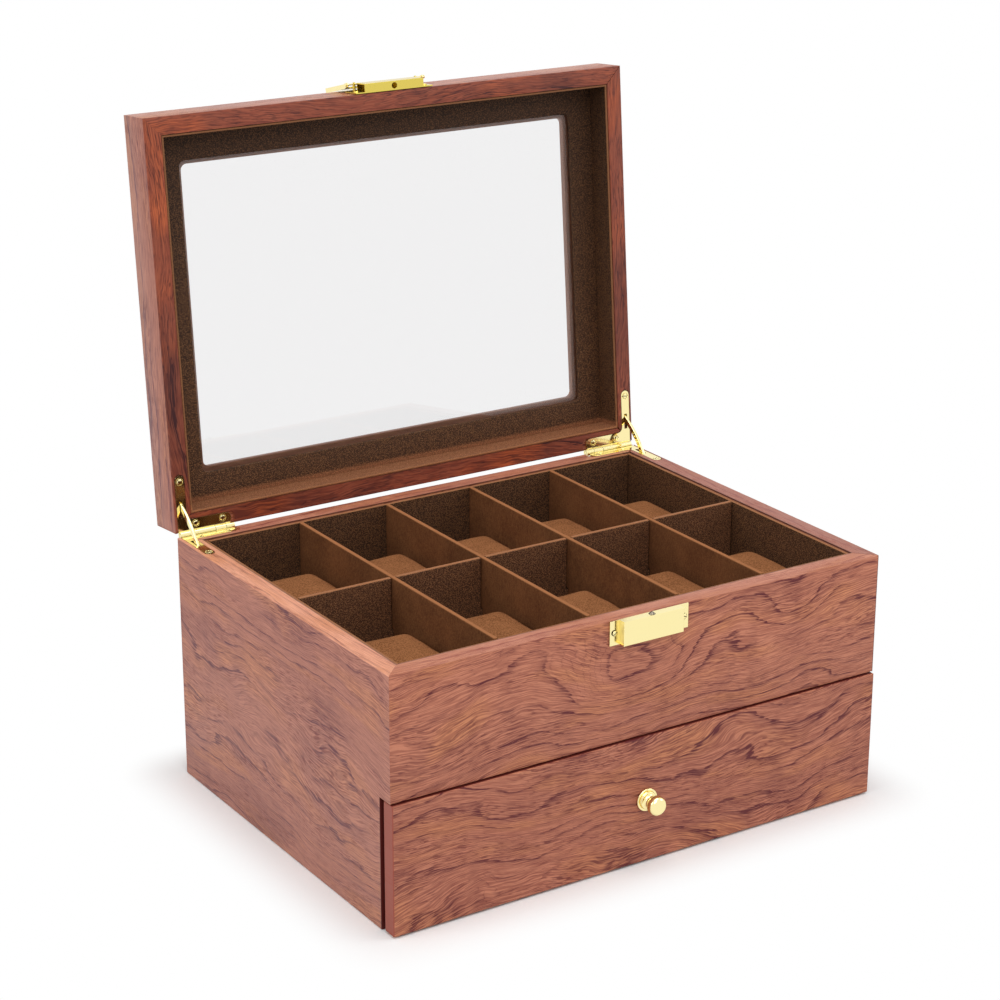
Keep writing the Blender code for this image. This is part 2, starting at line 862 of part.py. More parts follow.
def add_hinge_cuts(panels, rails):
    """The recesses in case and lid for the leaves, the barrels, the stays and the screws."""
    spans = knuckle_spans()
    whole = (spans[0][0], spans[-1][1])
    deep = leaf_thick + fit_gap
    for name, sign in (("left", -1), ("right", 1)):
        outline = leaf_outline(sign, fit_gap, half_depth + overrun, leaf_recess_spare)
        for body, pieces, face, way in (
            ("case_body", panels, case_height, -1),
            ("lid_body", rails, rim_z, 1),
        ):
            tag = f"{name}_{body}"
            side = pieces[name]
            back = pieces["back"]
            ends = sorted((face - way * overrun, face + way * deep))
            recess = add_cutter(tag + "_leaf_recess", prism(outline, "Z", *ends), body)
            cut(side, recess)
            cut(back, recess)
            holes = [screw_shank(place, face, way, fit_gap) for place in leaf_screw_spots(sign)]
            side_openings = merged([stay_mortise(sign, way), holes[0]])
            cut(side, add_cutter(tag + "_side_openings", side_openings, body))
            cut(back, add_cutter(tag + "_pilot_holes", merged(holes[1:]), body))
            trough = barrel_rod(sign, whole, knuckle_radius + fit_gap, fit_gap)
            cut(back, add_cutter(tag + "_trough", trough, body))


def stay_shape(sign):
    """A curved arm with a hook at each end, which stops it under the leaf of the open box."""
    hook = stay_curve + stay_hook_reach
    outline = stay_arc(hook, -stay_end_turn, -stay_hook_turn, 2)
    outline += stay_arc(stay_curve + stay_width / 2, -stay_hook_turn, stay_hook_turn, 14)
    outline += stay_arc(hook, stay_hook_turn, stay_end_turn, 2)
    outline += stay_arc(stay_curve - stay_width / 2, stay_end_turn, -stay_end_turn, 16)
    return stay_prism(sign, outline, stay_thick)


def add_hinges(panels, rails):
    spans = knuckle_spans()
    for name, sign in (("left", -1), ("right", 1)):
        add_leaf(f"{name}_case_hinge_leaf", sign, "case_body")
        add_leaf(f"{name}_lid_hinge_leaf", sign, "lid_body")
        pin = barrel_rod(sign, (spans[0][0], spans[-1][1]), pin_radius)
        add_piece(f"{name}_hinge_pin", pin, "case_body", "brass", smooth=True)
        add_piece(f"{name}_lid_stay", stay_shape(sign), f"{name}_stay_body", "brass", smooth=True)
    add_hinge_cuts(panels, rails)


# The catch


def catch_plate(name, body, low, high, block_low, block_high):
    """A plate on the front with a raised block, hollow and open at both ends."""
    half = catch_width / 2
    half_block = catch_block_width / 2
    shape = box((-half, catch_back - catch_sheet, low), (half, catch_back, high))
    plate = add_piece(name, shape, body, "brass")
    block = box((-half_block, catch_front, block_low), (half_block, catch_back, block_high))
    front_edges = [
        edge for edge in block.edges if all(abs(v.co.y - catch_front) < weld_distance for v in edge.verts)
    ]
    round_edges(block, front_edges, catch_edge, 1)
    hollow = box(
        (-half_block - overrun, catch_front + catch_sheet, block_low + catch_sheet),
        (half_block + overrun, catch_back - catch_sheet, block_high - catch_sheet),
    )
    join(plate, add_cutter(name + "_block", block, body))
    cut(plate, add_cutter(name + "_hollow", hollow, body))
    return plate


def catch_screw(place, seat):
    """A flat-headed screw, its head resting on a seat in front of the wood."""
    profile = [
        (0, -catch_head_thick),
        (catch_head_radius - catch_edge, -catch_head_thick),
        (catch_head_radius, -catch_head_thick / 2),
        (catch_head_radius, 0),
        (catch_shank_radius, 0),
        (catch_shank_radius, catch_screw_length),
        (0, catch_screw_length),
    ]
    return revolve(profile, (place[0], seat, place[1]), (0, 1, 0), 12)


def catch_screw_hole(place):
    start = (place[0], catch_back - catch_sheet - overrun, place[1])
    end = (place[0], catch_back + catch_screw_length + fit_gap, place[1])
    return rod(start, end, catch_shank_radius + fit_gap, 12)


def catch_screw_places(low, high):
    side = catch_width / 2 - catch_screw_inset
    return [(-side, (low + high) / 2), (side, (low + high) / 2)]


def spring_curve(low, high, middle_y):
    """A coil spring from one height to another, printing its least gap between turns."""
    steps = spring_turns * spring_points
    rise = (high - low - 4 * spring_wire) / steps
    print("spring: least gap between turns", rise * spring_points - 2 * spring_wire)
    points = []
    for step in range(steps + 1):
        turn = math.tau * step / spring_points
        side = Vector((math.cos(turn), math.sin(turn), 0)) * spring_radius
        points.append(side + Vector((0, middle_y, low + 2 * spring_wire + rise * step)))
    points.insert(0, points[0] - Vector((0, 0, 2 * spring_wire)))
    points.append(points[-1] + Vector((0, 0, 2 * spring_wire)))
    curve = bpy.data.curves.new("catch_spring", "CURVE")
    curve.dimensions = "3D"
    curve.bevel_depth = spring_wire
    curve.bevel_resolution = 1
    curve.use_fill_caps = True
    spline = curve.splines.new("POLY")
    spline.points.add(len(points) - 1)
    for place, point in zip(points, spline.points):
        point.co = (*(place - PIVOTS["case_body"]), 1)
    obj = bpy.data.objects.new("catch_spring", curve)
    bpy.context.collection.objects.link(obj)
    obj.parent = BODIES["case_body"]
    add_finish(obj, "steel")


def add_case_catch(front_panel):
    """The plate on the case, whose block houses the spring ball."""
    plate = catch_plate(
        "case_catch_plate", "case_body", catch_low, case_height, catch_low, case_height
    )
    middle_y = (catch_front + catch_back) / 2
    ball_z = case_height + ball_rise - ball_radius
    wide = ball_radius + ball_hole_spare
    narrow = math.sqrt(ball_radius**2 - (case_height - ball_z) ** 2) + ball_hole_spare
    profile = [
        (0, -overrun),
        (narrow, -overrun),
        (narrow, 0),
        (wide, case_height - ball_z),
        (wide, catch_sheet + fit_gap),
        (0, catch_sheet + fit_gap),
    ]
    hole = revolve(profile, (0, middle_y, case_height), (0, 0, -1))
    cut(plate, add_cutter("ball_hole", hole, "case_body"))
    ball = bmesh.new()
    bmesh.ops.create_uvsphere(ball, u_segments=16, v_segments=10, radius=ball_radius)
    bmesh.ops.translate(ball, vec=Vector((0, middle_y, ball_z)), verts=ball.verts)
    add_piece("catch_ball", ball, "ball_body", "steel", smooth=True)
    spring_curve(catch_low + catch_sheet + metal_gap, ball_z - ball_radius - metal_gap, middle_y)
    places = catch_screw_places(catch_low, case_height)
    holes = add_cutter("case_catch_holes", merged([catch_screw_hole(place) for place in places]), "case_body")
    cut(plate, holes)
    cut(front_panel, holes)
    seat = catch_back - catch_sheet - metal_gap
    for number, place in enumerate(places):
        screw = catch_screw(place, seat)
        add_piece(f"case_catch_screw_{number + 1}", screw, "case_body", "brass", smooth=True)


def add_lid_catch(front_rail):
    """The plate on the lid: a block with a hole for the ball, and two lugs that carry the flap."""
    block_high = rim_z + lid_block_height
    high = flap_pin_z + flap_lug_radius + plate_margin
    plate = catch_plate("lid_catch_plate", "lid_body", rim_z, high, rim_z, block_high)
    middle_y = (catch_front + catch_back) / 2
    hole = rod((0, middle_y, rim_z - overrun), (0, middle_y, rim_z + overrun), lid_hole_radius)
    lug_start = catch_block_width / 2 + fit_gap + metal_gap
    lugs = []
    for sign in (-1, 1):
        ends = sorted((sign * lug_start, sign * (lug_start + flap_lug_thick)))
        outline = arc((flap_pin_y, flap_pin_z), flap_lug_radius, -math.pi / 2, -3 * math.pi / 2, 8)
        root = catch_back - catch_sheet / 2
        outline += [(root, flap_pin_z + flap_lug_radius), (root, flap_pin_z - flap_lug_radius)]
        lugs.append(prism(outline, "X", *ends))
    join(plate, add_cutter("flap_lugs", merged(lugs), "lid_body"))
    bore = flap_rod(catch_width / 2 + overrun, flap_pin_radius + metal_gap)
    cut(plate, add_cutter("ball_seat", hole, "lid_body"), add_cutter("flap_pin_bore", bore, "lid_body"))
    places = catch_screw_places(rim_z, block_high)
    seat = catch_back - catch_sheet + catch_screw_bite
    screws = merged([catch_screw(place, seat) for place in places])
    join(plate, add_cutter("lid_catch_screws", screws, "lid_body"))
    holes = merged([catch_screw_hole(place) for place in places])
    cut(front_rail, add_cutter("lid_catch_holes", holes, "lid_body"))
    add_flap_pin()
    add_flap()


def flap_rod(half, radius):
    return rod((-half, flap_pin_y, flap_pin_z), (half, flap_pin_y, flap_pin_z), radius, 16)


def add_flap_pin():
    """The pin through the plate's lugs and the flap's ears, with a head outside each ear."""
    inside = catch_width / 2 + metal_gap
    outside = inside + flap_pin_head_thick
    profile = [
        (0, -outside),
        (flap_pin_head_radius, -outside),
        (flap_pin_head_radius, -inside),
        (flap_pin_radius, -inside),
        (flap_pin_radius, inside),
        (flap_pin_head_radius, inside),
        (flap_pin_head_radius, outside),
        (0, outside),
    ]
    pin = revolve(profile, (0, flap_pin_y, flap_pin_z), (1, 0, 0), 12)
    add_piece("catch_flap_pin", pin, "lid_body", "brass", smooth=True)


def add_flap():
    """The flap, drawn as it hangs over the case's block when the box is shut."""
    half = catch_width / 2
    inside = half - flap_thick
    flange_y = flap_inner + flap_flange_depth
    plan = [
        (-half, flap_outer), (half, flap_outer), (half, flange_y), (inside, flange_y),
        (inside, flap_inner), (-inside, flap_inner), (-inside, flange_y), (-half, flange_y),
    ]
    relief = flap_pin_z - flap_relief
    flap = add_piece("catch_flap", prism(plan, "Z", catch_low, relief), "flap_body", "brass")
    ear_outline = [(flap_outer, relief - flap_ear_radius), (flange_y, relief - flap_ear_radius)]
    ear_outline += [(flange_y, flap_pin_z - flap_ear_radius)]
    ear_outline += arc((flap_pin_y, flap_pin_z), flap_ear_radius, 0, math.pi, 8)
    ear_outline += [(flap_outer, relief)]
    ears = [
        prism(ear_outline, "X", *sorted((sign * inside, sign * half)))
        for sign in (-1, 1)
    ]
    join(flap, add_cutter("flap_ears", merged(ears), "flap_body"))
    bore = flap_rod(half + overrun, flap_pin_radius + metal_gap)
    cut(flap, add_cutter("flap_bore", bore, "flap_body"))


# The drawer


def add_drawer():
    front = add_drawer_front()
    inner = drawer_half - drawer_wall
    side_start = drawer_front_back + fit_gap
    high = drawer_low + drawer_side_height
    pieces = [front]
    for name, sign in (("left", -1), ("right", 1)):
        ends = sorted((sign * inner, sign * drawer_half))
        shape = box((ends[0], side_start, drawer_low), (ends[1], drawer_end, high))
        pieces.append(add_piece(f"drawer_{name}_side", shape, "drawer_body", "drawer wood"))
    back_start = drawer_end - drawer_wall
    shape = box((-inner + fit_gap, back_start, drawer_low), (inner - fit_gap, drawer_end, high))
    pieces.append(add_piece("drawer_back", shape, "drawer_body", "drawer wood"))
    reach = inner + drawer_groove - fit_gap
    bottom_low = drawer_low + drawer_bottom_rise
    bottom_high = bottom_low + drawer_bottom_thick
    bottom = (
        (-reach, drawer_front_back - drawer_groove + fit_gap, bottom_low),
        (reach, back_start + drawer_groove - fit_gap, bottom_high),
    )
    add_piece("drawer_bottom", box(*bottom), "drawer_body", "drawer wood")
    groove = add_cutter("drawer_bottom_groove", grown_box(*bottom, fit_gap), "drawer_body")
    for piece in pieces:
        cut(piece, groove)
    add_drawer_lining(inner - fit_gap, side_start, back_start - fit_gap, bottom_high + fit_gap, high)


def add_drawer_lining(half, start, end, low, side_high):
    """A thin open tray of leatherette-covered card in the drawer."""
    high = side_high - drawer_lining_drop
    shape = box((-half, start, low), (half, end, high))
    lining = add_piece("drawer_lining", shape, "drawer_body", "leatherette")
    thin = drawer_lining_thick
    hollow = box((-half + thin, start + thin, low + thin), (half - thin, end - thin, high + overrun))
    cut(lining, add_cutter("drawer_hollow", hollow, "drawer_body"))


def add_drawer_front():
    """The veneered front with its rounded edges, its knob and the screw that holds it."""
    half = half_width - drawer_front_inset
    face = -half_depth - drawer_proud
    shape = box(
        (-half, face, drawer_front_lift),
        (half, drawer_front_back, drawer_zone - drawer_front_headroom),
    )
    round_edges(shape, list(shape.edges), drawer_front_round)
    front = add_piece("drawer_front", shape, "drawer_body", "case veneer")
    sunk = knob_screw_head_thick + 2 * fit_gap
    hole_radius = knob_screw_radius + fit_gap
    sink_radius = knob_screw_head_radius + fit_gap
    profile = [
        (0, -overrun),
        (sink_radius, -overrun),
        (sink_radius, sunk),
        (hole_radius, sunk),
        (hole_radius, drawer_front_thick + overrun),
        (0, drawer_front_thick + overrun),
    ]
    hole = revolve(profile, (0, drawer_front_back, knob_z), (0, -1, 0), 16)
    cut(front, add_cutter("knob_screw_hole", hole, "drawer_body"))
    add_knob(face, sunk)
    return front


def add_knob(face, sunk):
    """A turned knob with a flange, a neck and a round-edged head, and its screw from behind."""
    shoulder = (knob_head_radius - knob_head_round, knob_length - knob_head_round)
    under = (shoulder[0], knob_head_start + knob_head_round)
    bore = knob_screw_radius + metal_gap
    profile = [
        (0, knob_screw_depth),
        (bore, knob_screw_depth),
        (bore, 0),
        (knob_flange_radius, 0),
        (knob_flange_radius, knob_flange_height),
        (knob_step_radius, knob_flange_height),
        (knob_step_radius, knob_step_height),
        (knob_neck_radius, knob_step_height),
        (knob_neck_radius, knob_head_start),
    ]
    profile += arc(under, knob_head_round, -math.pi / 2, 0, 3)
    profile += arc(shoulder, knob_head_round, 0, math.pi / 2, 3)
    profile += [(0, knob_length)]
    seat = face - fit_gap
    knob = revolve(profile, (0, seat, knob_z), (0, -1, 0), 24)
    add_piece("drawer_knob", knob, "drawer_body", "brass", smooth=True)
    head_seat = drawer_front_back - sunk + fit_gap
    tip = head_seat - (seat - knob_screw_depth + fit_gap)
    screw_profile = [
        (0, -knob_screw_head_thick),
        (knob_screw_head_radius, -knob_screw_head_thick),
        (knob_screw_head_radius, 0),
        (knob_screw_radius, 0),
        (knob_screw_radius, tip),
        (0, tip),
    ]
    screw = revolve(screw_profile, (0, head_seat, knob_z), (0, -1, 0), 12)
    add_piece("knob_screw", screw, "drawer_body", "steel", smooth=True)


def main():
    clear_scene()
    add_bodies()
    panels = add_case_panels()
    add_boards(panels)
    add_tray_linings()
    add_dividers()
    add_pillows()
    rails = add_lid_rails()
    add_lid_top(rails)
    add_hinges(panels, rails)
    add_case_catch(panels["front"])
    add_lid_catch(rails["front"])
    add_drawer()


main()
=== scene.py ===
"""The looks of a watch display box: veneered case and lid, lined compartments with suede pillows,
brass quadrant-stay hinges, a spring-ball catch with a flap, and a drawer with a turned knob.

Lengths are in metres in the frame of the solids: +Z up, the drawer's front towards -Y, the lid
open.
"""

import json
import math

import bpy
from bpy.props import FloatProperty, FloatVectorProperty, PointerProperty
from mathutils import Matrix, Vector

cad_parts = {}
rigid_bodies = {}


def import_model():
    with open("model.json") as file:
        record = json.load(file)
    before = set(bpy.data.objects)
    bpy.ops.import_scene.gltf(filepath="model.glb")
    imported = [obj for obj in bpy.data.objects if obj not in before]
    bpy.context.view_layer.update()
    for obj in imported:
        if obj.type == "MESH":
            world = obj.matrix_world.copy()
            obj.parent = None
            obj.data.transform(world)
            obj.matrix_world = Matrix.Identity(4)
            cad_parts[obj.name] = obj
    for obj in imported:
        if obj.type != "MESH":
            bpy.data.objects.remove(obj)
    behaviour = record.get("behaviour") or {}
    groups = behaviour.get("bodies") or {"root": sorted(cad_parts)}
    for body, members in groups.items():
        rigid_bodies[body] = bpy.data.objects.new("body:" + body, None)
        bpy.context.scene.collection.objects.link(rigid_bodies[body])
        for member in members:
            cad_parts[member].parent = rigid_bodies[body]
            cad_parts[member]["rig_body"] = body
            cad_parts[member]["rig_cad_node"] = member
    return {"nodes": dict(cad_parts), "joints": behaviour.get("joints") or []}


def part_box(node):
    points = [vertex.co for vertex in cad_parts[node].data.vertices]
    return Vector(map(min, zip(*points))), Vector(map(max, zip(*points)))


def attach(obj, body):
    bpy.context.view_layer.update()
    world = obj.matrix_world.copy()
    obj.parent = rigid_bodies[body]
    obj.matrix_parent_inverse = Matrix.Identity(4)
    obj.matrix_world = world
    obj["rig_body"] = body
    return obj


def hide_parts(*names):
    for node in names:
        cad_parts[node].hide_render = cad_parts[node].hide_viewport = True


bl_info = {
    "name": "Watch Display Box",
    "version": (1, 0, 0),
    "blender": (4, 5, 0),
    "location": "View3D > Sidebar > Watch Box",
    "description": "Finishes, pillows, hinges, catch and knob of a watch display box",
    "category": "Object",
}

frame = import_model()
nodes = frame["nodes"]
joints = {joint["name"]: joint for joint in frame["joints"]}
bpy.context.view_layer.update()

# Places that the finishes and pieces are set out from
half_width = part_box("right_side_panel")[1].x
half_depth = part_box("back_panel")[1].y
case_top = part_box("back_panel")[1].z
hinge = Vector(joints["lid_hinge"]["pos_m"])
lid_turn = -math.radians(joints["lid_hinge"]["range_deg"][0])
rim_low = 2 * hinge.z - case_top
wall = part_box("left_side_panel")[1].x + half_width
mitre_gap = half_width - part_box("upper_front_panel")[1].x

# The hinge screws' distances from the case's outer side and back
HINGE_SCREWS = ((0.0040, 0.0264), (0.0112, 0.0038), (0.0262, 0.0038))

# The lid's window starts further in than this from its outer sides
WINDOW_INSET = 0.015

# Half the width of a sharp change between two finishes
SHARP = 0.00005

# A panel's face gives way to its rim between these distances from the rim
RIM_START = 0.0004
RIM_END = 0.0007

# Vertices nearer than this are one
WELD = 0.000002

# How near to a mitre a vertex of it lies, and the share of the gap that the mitre is drawn out by
ON_MITRE = 0.00004
MITRE_DRAW = 0.96

# How much wider a screw head's shaded rim is than the head
HEAD_RIM = 1.12

# How far a cutting tool stands out of the piece that it cuts
OVERCUT = 0.005


def about(point, angle):
    """A turn about the line through a point along X."""
    place = Matrix.Translation(Vector(point))
    return place @ Matrix.Rotation(angle, 4, "X") @ place.inverted()


# What opens the closed lid. The lid's pieces are set out closed and then turned by it
LID_OPENED = about(hinge, -lid_turn)


# Sizes and colours that a user would change


def length(name, text, value):
    return FloatProperty(name=name, description=text, default=value, min=0, unit="LENGTH")


def share(name, text, value):
    return FloatProperty(name=name, description=text, default=value, min=0, max=1, subtype="FACTOR")


def colour(name, text, red, green, blue):
    tone = (red / 255, green / 255, blue / 255)
    return FloatVectorProperty(
        name=name, description=text, default=tone, min=0, max=1, size=3, subtype="COLOR_GAMMA"
    )


class WatchBoxSizes(bpy.types.PropertyGroup):
    """Sizes of the softened edges, the stuffing and the small fittings."""

    brass_edge: length("Brass edge", "Width of the polished edges of the brass plates", 0.00016)
    stay_edge: length("Stay edge", "Width of the rounded edges of the quadrant stays", 0.0003)
    board_edge: length("Lined edge", "Width of the rounded edges of the lined boards", 0.0006)
    divider_edge: length("Divider edge", "Width of the rounded edges of the dividers", 0.0007)
    window_corner: length("Window corner", "Radius of the window's corners", 0.0032)
    frame_step: length("Frame step", "How far the lined frame stands back from the window", 0.0010)
    board_step: length("Board step", "How far the board stands into the window", 0.0011)
    window_roll: length("Window edge", "Width of the turned-over edge round the window", 0.00062)
    glass_edge: length("Glass edge", "Width of the ground edges of the glass", 0.0002)
    head_radius: length("Screw head", "Radius of the hinge screws' heads", 0.00136)
    head_rise: length("Screw rise", "Height of a hinge screw's head above its leaf", 0.00018)
    slot_width: length("Screw slot", "Width of the slot in a screw's head", 0.00036)
    ring_spacing: length("Ring spacing", "Distance between the veneer's growth lines", 0.0085)
    pillow_start: length("Pillow start", "How much smaller a pillow is before stuffing", 0.0014)
    pillow_corner: length("Pillow corner", "Radius of a pillow's edges before stuffing", 0.0042)
    pillow_voxel: length("Pillow mesh", "Size of the faces of the stuffed pillow", 0.0019)
    pillow_swell: length("Pillow swell", "Furthest that a pillow's cover is pushed out", 0.0016)
    pillow_fill: share("Pillow fill", "How tightly the pillows are stuffed", 0.75)


class WatchBoxColours(bpy.types.PropertyGroup):
    """Colours of the finishes."""

    case_light: colour("Case light", "Light wood of the case", 200, 129, 101)
    case_amber: colour("Case amber", "Orange clouds in the case's wood", 208, 136, 96)
    case_dark: colour("Case dark", "Dark fibres of the case's wood", 144, 76, 60)
    case_vein: colour("Case vein", "Growth lines of the case", 96, 34, 38)
    side_light: colour("Side light", "Light wood of the case's sides", 185, 123, 103)
    side_amber: colour("Side amber", "Orange clouds in the sides' wood", 196, 130, 98)
    side_dark: colour("Side dark", "Dark fibres of the sides' wood", 136, 80, 67)
    side_vein: colour("Side vein", "Growth lines of the sides", 100, 50, 58)
    rim_light: colour("Rim light", "Light wood of the case's rim", 236, 168, 136)
    rim_amber: colour("Rim amber", "Orange clouds in the rim's wood", 228, 156, 114)
    rim_dark: colour("Rim dark", "Dark fibres of the rim's wood", 172, 98, 76)
    rim_vein: colour("Rim vein", "Growth lines of the rim", 130, 60, 52)
    lid_light: colour("Lid light", "Light wood of the lid's rim", 150, 80, 58)
    lid_amber: colour("Lid amber", "Orange clouds in the lid's rim", 186, 94, 56)
    lid_dark: colour("Lid dark", "Dark fibres of the lid's rim", 120, 52, 38)
    lid_vein: colour("Lid vein", "Growth lines of the lid's rim", 58, 22, 24)
    leather_tip: colour("Leatherette tips", "Raised grain of the leatherette", 148, 100, 63)
    leather_deep: colour("Leatherette hollows", "Hollows of the leatherette's grain", 62, 40, 26)
    # Painted light: a lighter copy of the leatherette's colours, for the cross divider
    divider_lit_tip: colour("Divider tips", "Raised grain of the cross divider", 166, 111, 73)
    divider_lit_deep: colour("Divider hollows", "Hollows of the cross divider's grain", 78, 50, 33)
    # Painted light on the lining's strip at the lid's hinge side
    ledge_light: colour("Ledge tips", "Raised grain at the lid's hinge side", 190, 124, 84)
    suede_pale: colour("Suede pale", "Brushed places of the dividers' suede", 130, 84, 52)
    suede_deep: colour("Suede deep", "Deep places of the dividers' suede", 88, 54, 33)
    # Painted highlight along the upper edges of the dividers and wall linings, and on the lining's
    # fold at the lid's rim
    edge_highlight_colour: colour("Suede edge", "Upper edges of the dividers", 172, 114, 74)
    pillow_pale: colour("Pillow pale", "Brushed places of the pillows' suede", 164, 109, 70)
    pillow_deep: colour("Pillow deep", "Deep places of the pillows' suede", 118, 73, 43)
    drawer_end: colour("Drawer end", "Cut ends of the drawer's front", 150, 74, 58)
    seam: colour("Seam", "Shadow line between the rim and the lining", 66, 34, 24)
    gap_shade: colour("Recess", "Stained edges in the gaps round the drawer", 92, 32, 28)
    # Painted shade in the gaps round the drawer, on the faces that stand in them
    reveal: colour("Window reveal", "Cut edge of the board round the glass", 152, 106, 84)
    brass: colour("Brass", "Polished brass", 253, 238, 176)
    # Painted shade: a darker copy of the polished brass, for the lid's catch plate
    brass_in_shade: colour("Deep brass", "Brass of the lid's catch plate", 224, 202, 96)
    # Painted shade in the screws' slots and round their heads, and inside the catch blocks
    brass_shade: colour("Brass shade", "Lacquer in the screws' slots and rims", 66, 46, 14)
    steel: colour("Steel", "Bright steel", 128, 120, 106)
    felt: colour("Felt", "Felt under the case", 46, 30, 22)


def sizes():
    return bpy.context.scene.watch_box_sizes


def linear(tone):
    """A colour on the screen's scale as a shader takes it."""
    values = [c / 12.92 if c <= 0.04045 else ((c + 0.055) / 1.055) ** 2.4 for c in tone]
    return (*values, 1.0)


def tint(name):
    return linear(getattr(bpy.context.scene.watch_box_colours, name))


# Shader maths


def operators(operation):
    """An operator that adds a Math node, and its reflected form."""

    def plain(self, other):
        return self.math(operation, self, other)

    def reflected(self, other):
        return self.math(operation, other, self)

    return plain, reflected


class Flow:
    """A socket in shader maths. Its operators add Math nodes."""

    __add__, __radd__ = operators("ADD")
    __sub__, __rsub__ = operators("SUBTRACT")
    __mul__, __rmul__ = operators("MULTIPLY")
    __truediv__, __rtruediv__ = operators("DIVIDE")
    __pow__, __rpow__ = operators("POWER")

    def __init__(self, tree, socket):
        self.tree = tree
        self.socket = socket

    def math(self, operation, *values):
        return self.tree.add("ShaderNodeMath", {"operation": operation}, values)

    def __abs__(self):
        return self.math("ABSOLUTE", self)

    def at_least(self, other):
        return self.math("MAXIMUM", self, other)

    def fraction(self):
        return self.math("FRACT", self)


class Tree:
    """The node tree of a material or a world."""

    def __init__(self, owner):
        owner.use_nodes = True
        self.nodes = owner.node_tree.nodes
        self.links = owner.node_tree.links

    def add(self, kind, settings=None, values=(), output=0):
        """A node of any type, with its settings first and then its sockets' values or links."""
        node = self.nodes.new(kind)
        for name, value in (settings or {}).items():
            setattr(node, name, value)
        pairs = values.items() if isinstance(values, dict) else enumerate(values)
        for key, value in pairs:
            self.feed(node.inputs[key], value)
        return Flow(self, node.outputs[output])

    def feed(self, socket, value):
        if isinstance(value, Flow):
            self.links.new(value.socket, socket)
        else:
            socket.default_value = value

    def seen(self):
        """1 for what the camera sees straight, through glass or in polished metal."""
        rays = self.add("ShaderNodeLightPath", output="Is Camera Ray")
        for kind in ("Is Transmission Ray", "Is Glossy Ray"):
            rays = rays.at_least(self.add("ShaderNodeLightPath", output=kind))
        return rays


class Finish(Tree):
    """One material: a Principled shader and the nodes that feed it."""

    def __init__(self, name, base=(0.8, 0.8, 0.8, 1.0), roughness=0.5, **constants):
        self.material = bpy.data.materials.new(name)
        super().__init__(self.material)
        self.shader = self.nodes["Principled BSDF"]
        self.shader.inputs["Base Color"].default_value = base
        self.shader.inputs["Roughness"].default_value = roughness
        for socket, value in constants.items():
            self.shader.inputs[socket.replace("_", " ")].default_value = value

    def set(self, name, value):
        self.feed(self.shader.inputs[name], value)

    def here(self, turned=None):
        """The shaded point of the piece, turned first where a matrix is given."""
        point = self.add("ShaderNodeTexCoord", output="Object")
        if turned:
            settings = {
                "Vector": point,
                "Location": turned.to_translation(),
                "Rotation": turned.to_euler(),
            }
            point = self.add("ShaderNodeMapping", {"vector_type": "POINT"}, settings)
        return point

    def split(self, point):
        """A point's three coordinates."""
        outputs = self.add("ShaderNodeSeparateXYZ", None, [point]).socket.node.outputs
        return [Flow(self, output) for output in outputs]

    def point(self, x, y, z):
        return self.add("ShaderNodeCombineXYZ", None, [x, y, z])

    def noise(self, point, scale, detail, rough=0.5):
        values = {"Vector": point, "Scale": scale, "Detail": detail, "Roughness": rough}
        return self.add("ShaderNodeTexNoise", None, values)

    def cells(self, point, scale):
        """The distance from the middle of the nearest cell."""
        values = {"Vector": point, "Scale": scale}
        return self.add("ShaderNodeTexVoronoi", None, values, "Distance")

    def step(self, value, low, high):
        """Rises smoothly from 0 to 1 between two values."""
        return self.add(
            "ShaderNodeMapRange",
            {"interpolation_type": "SMOOTHSTEP"},
            {"Value": value, "From Min": low, "From Max": high},
        )

    def blend(self, factor, first, second, way="MIX"):
        """Mixes two colours."""
        settings = {"data_type": "RGBA", "blend_type": way, "clamp_factor": True}
        return self.add("ShaderNodeMix", settings, {0: factor, 6: first, 7: second}, 2)

    def bump(self, height, distance, strength):
        values = {"Height": height, "Distance": distance, "Strength": strength}
        self.set("Normal", self.add("ShaderNodeBump", None, values))


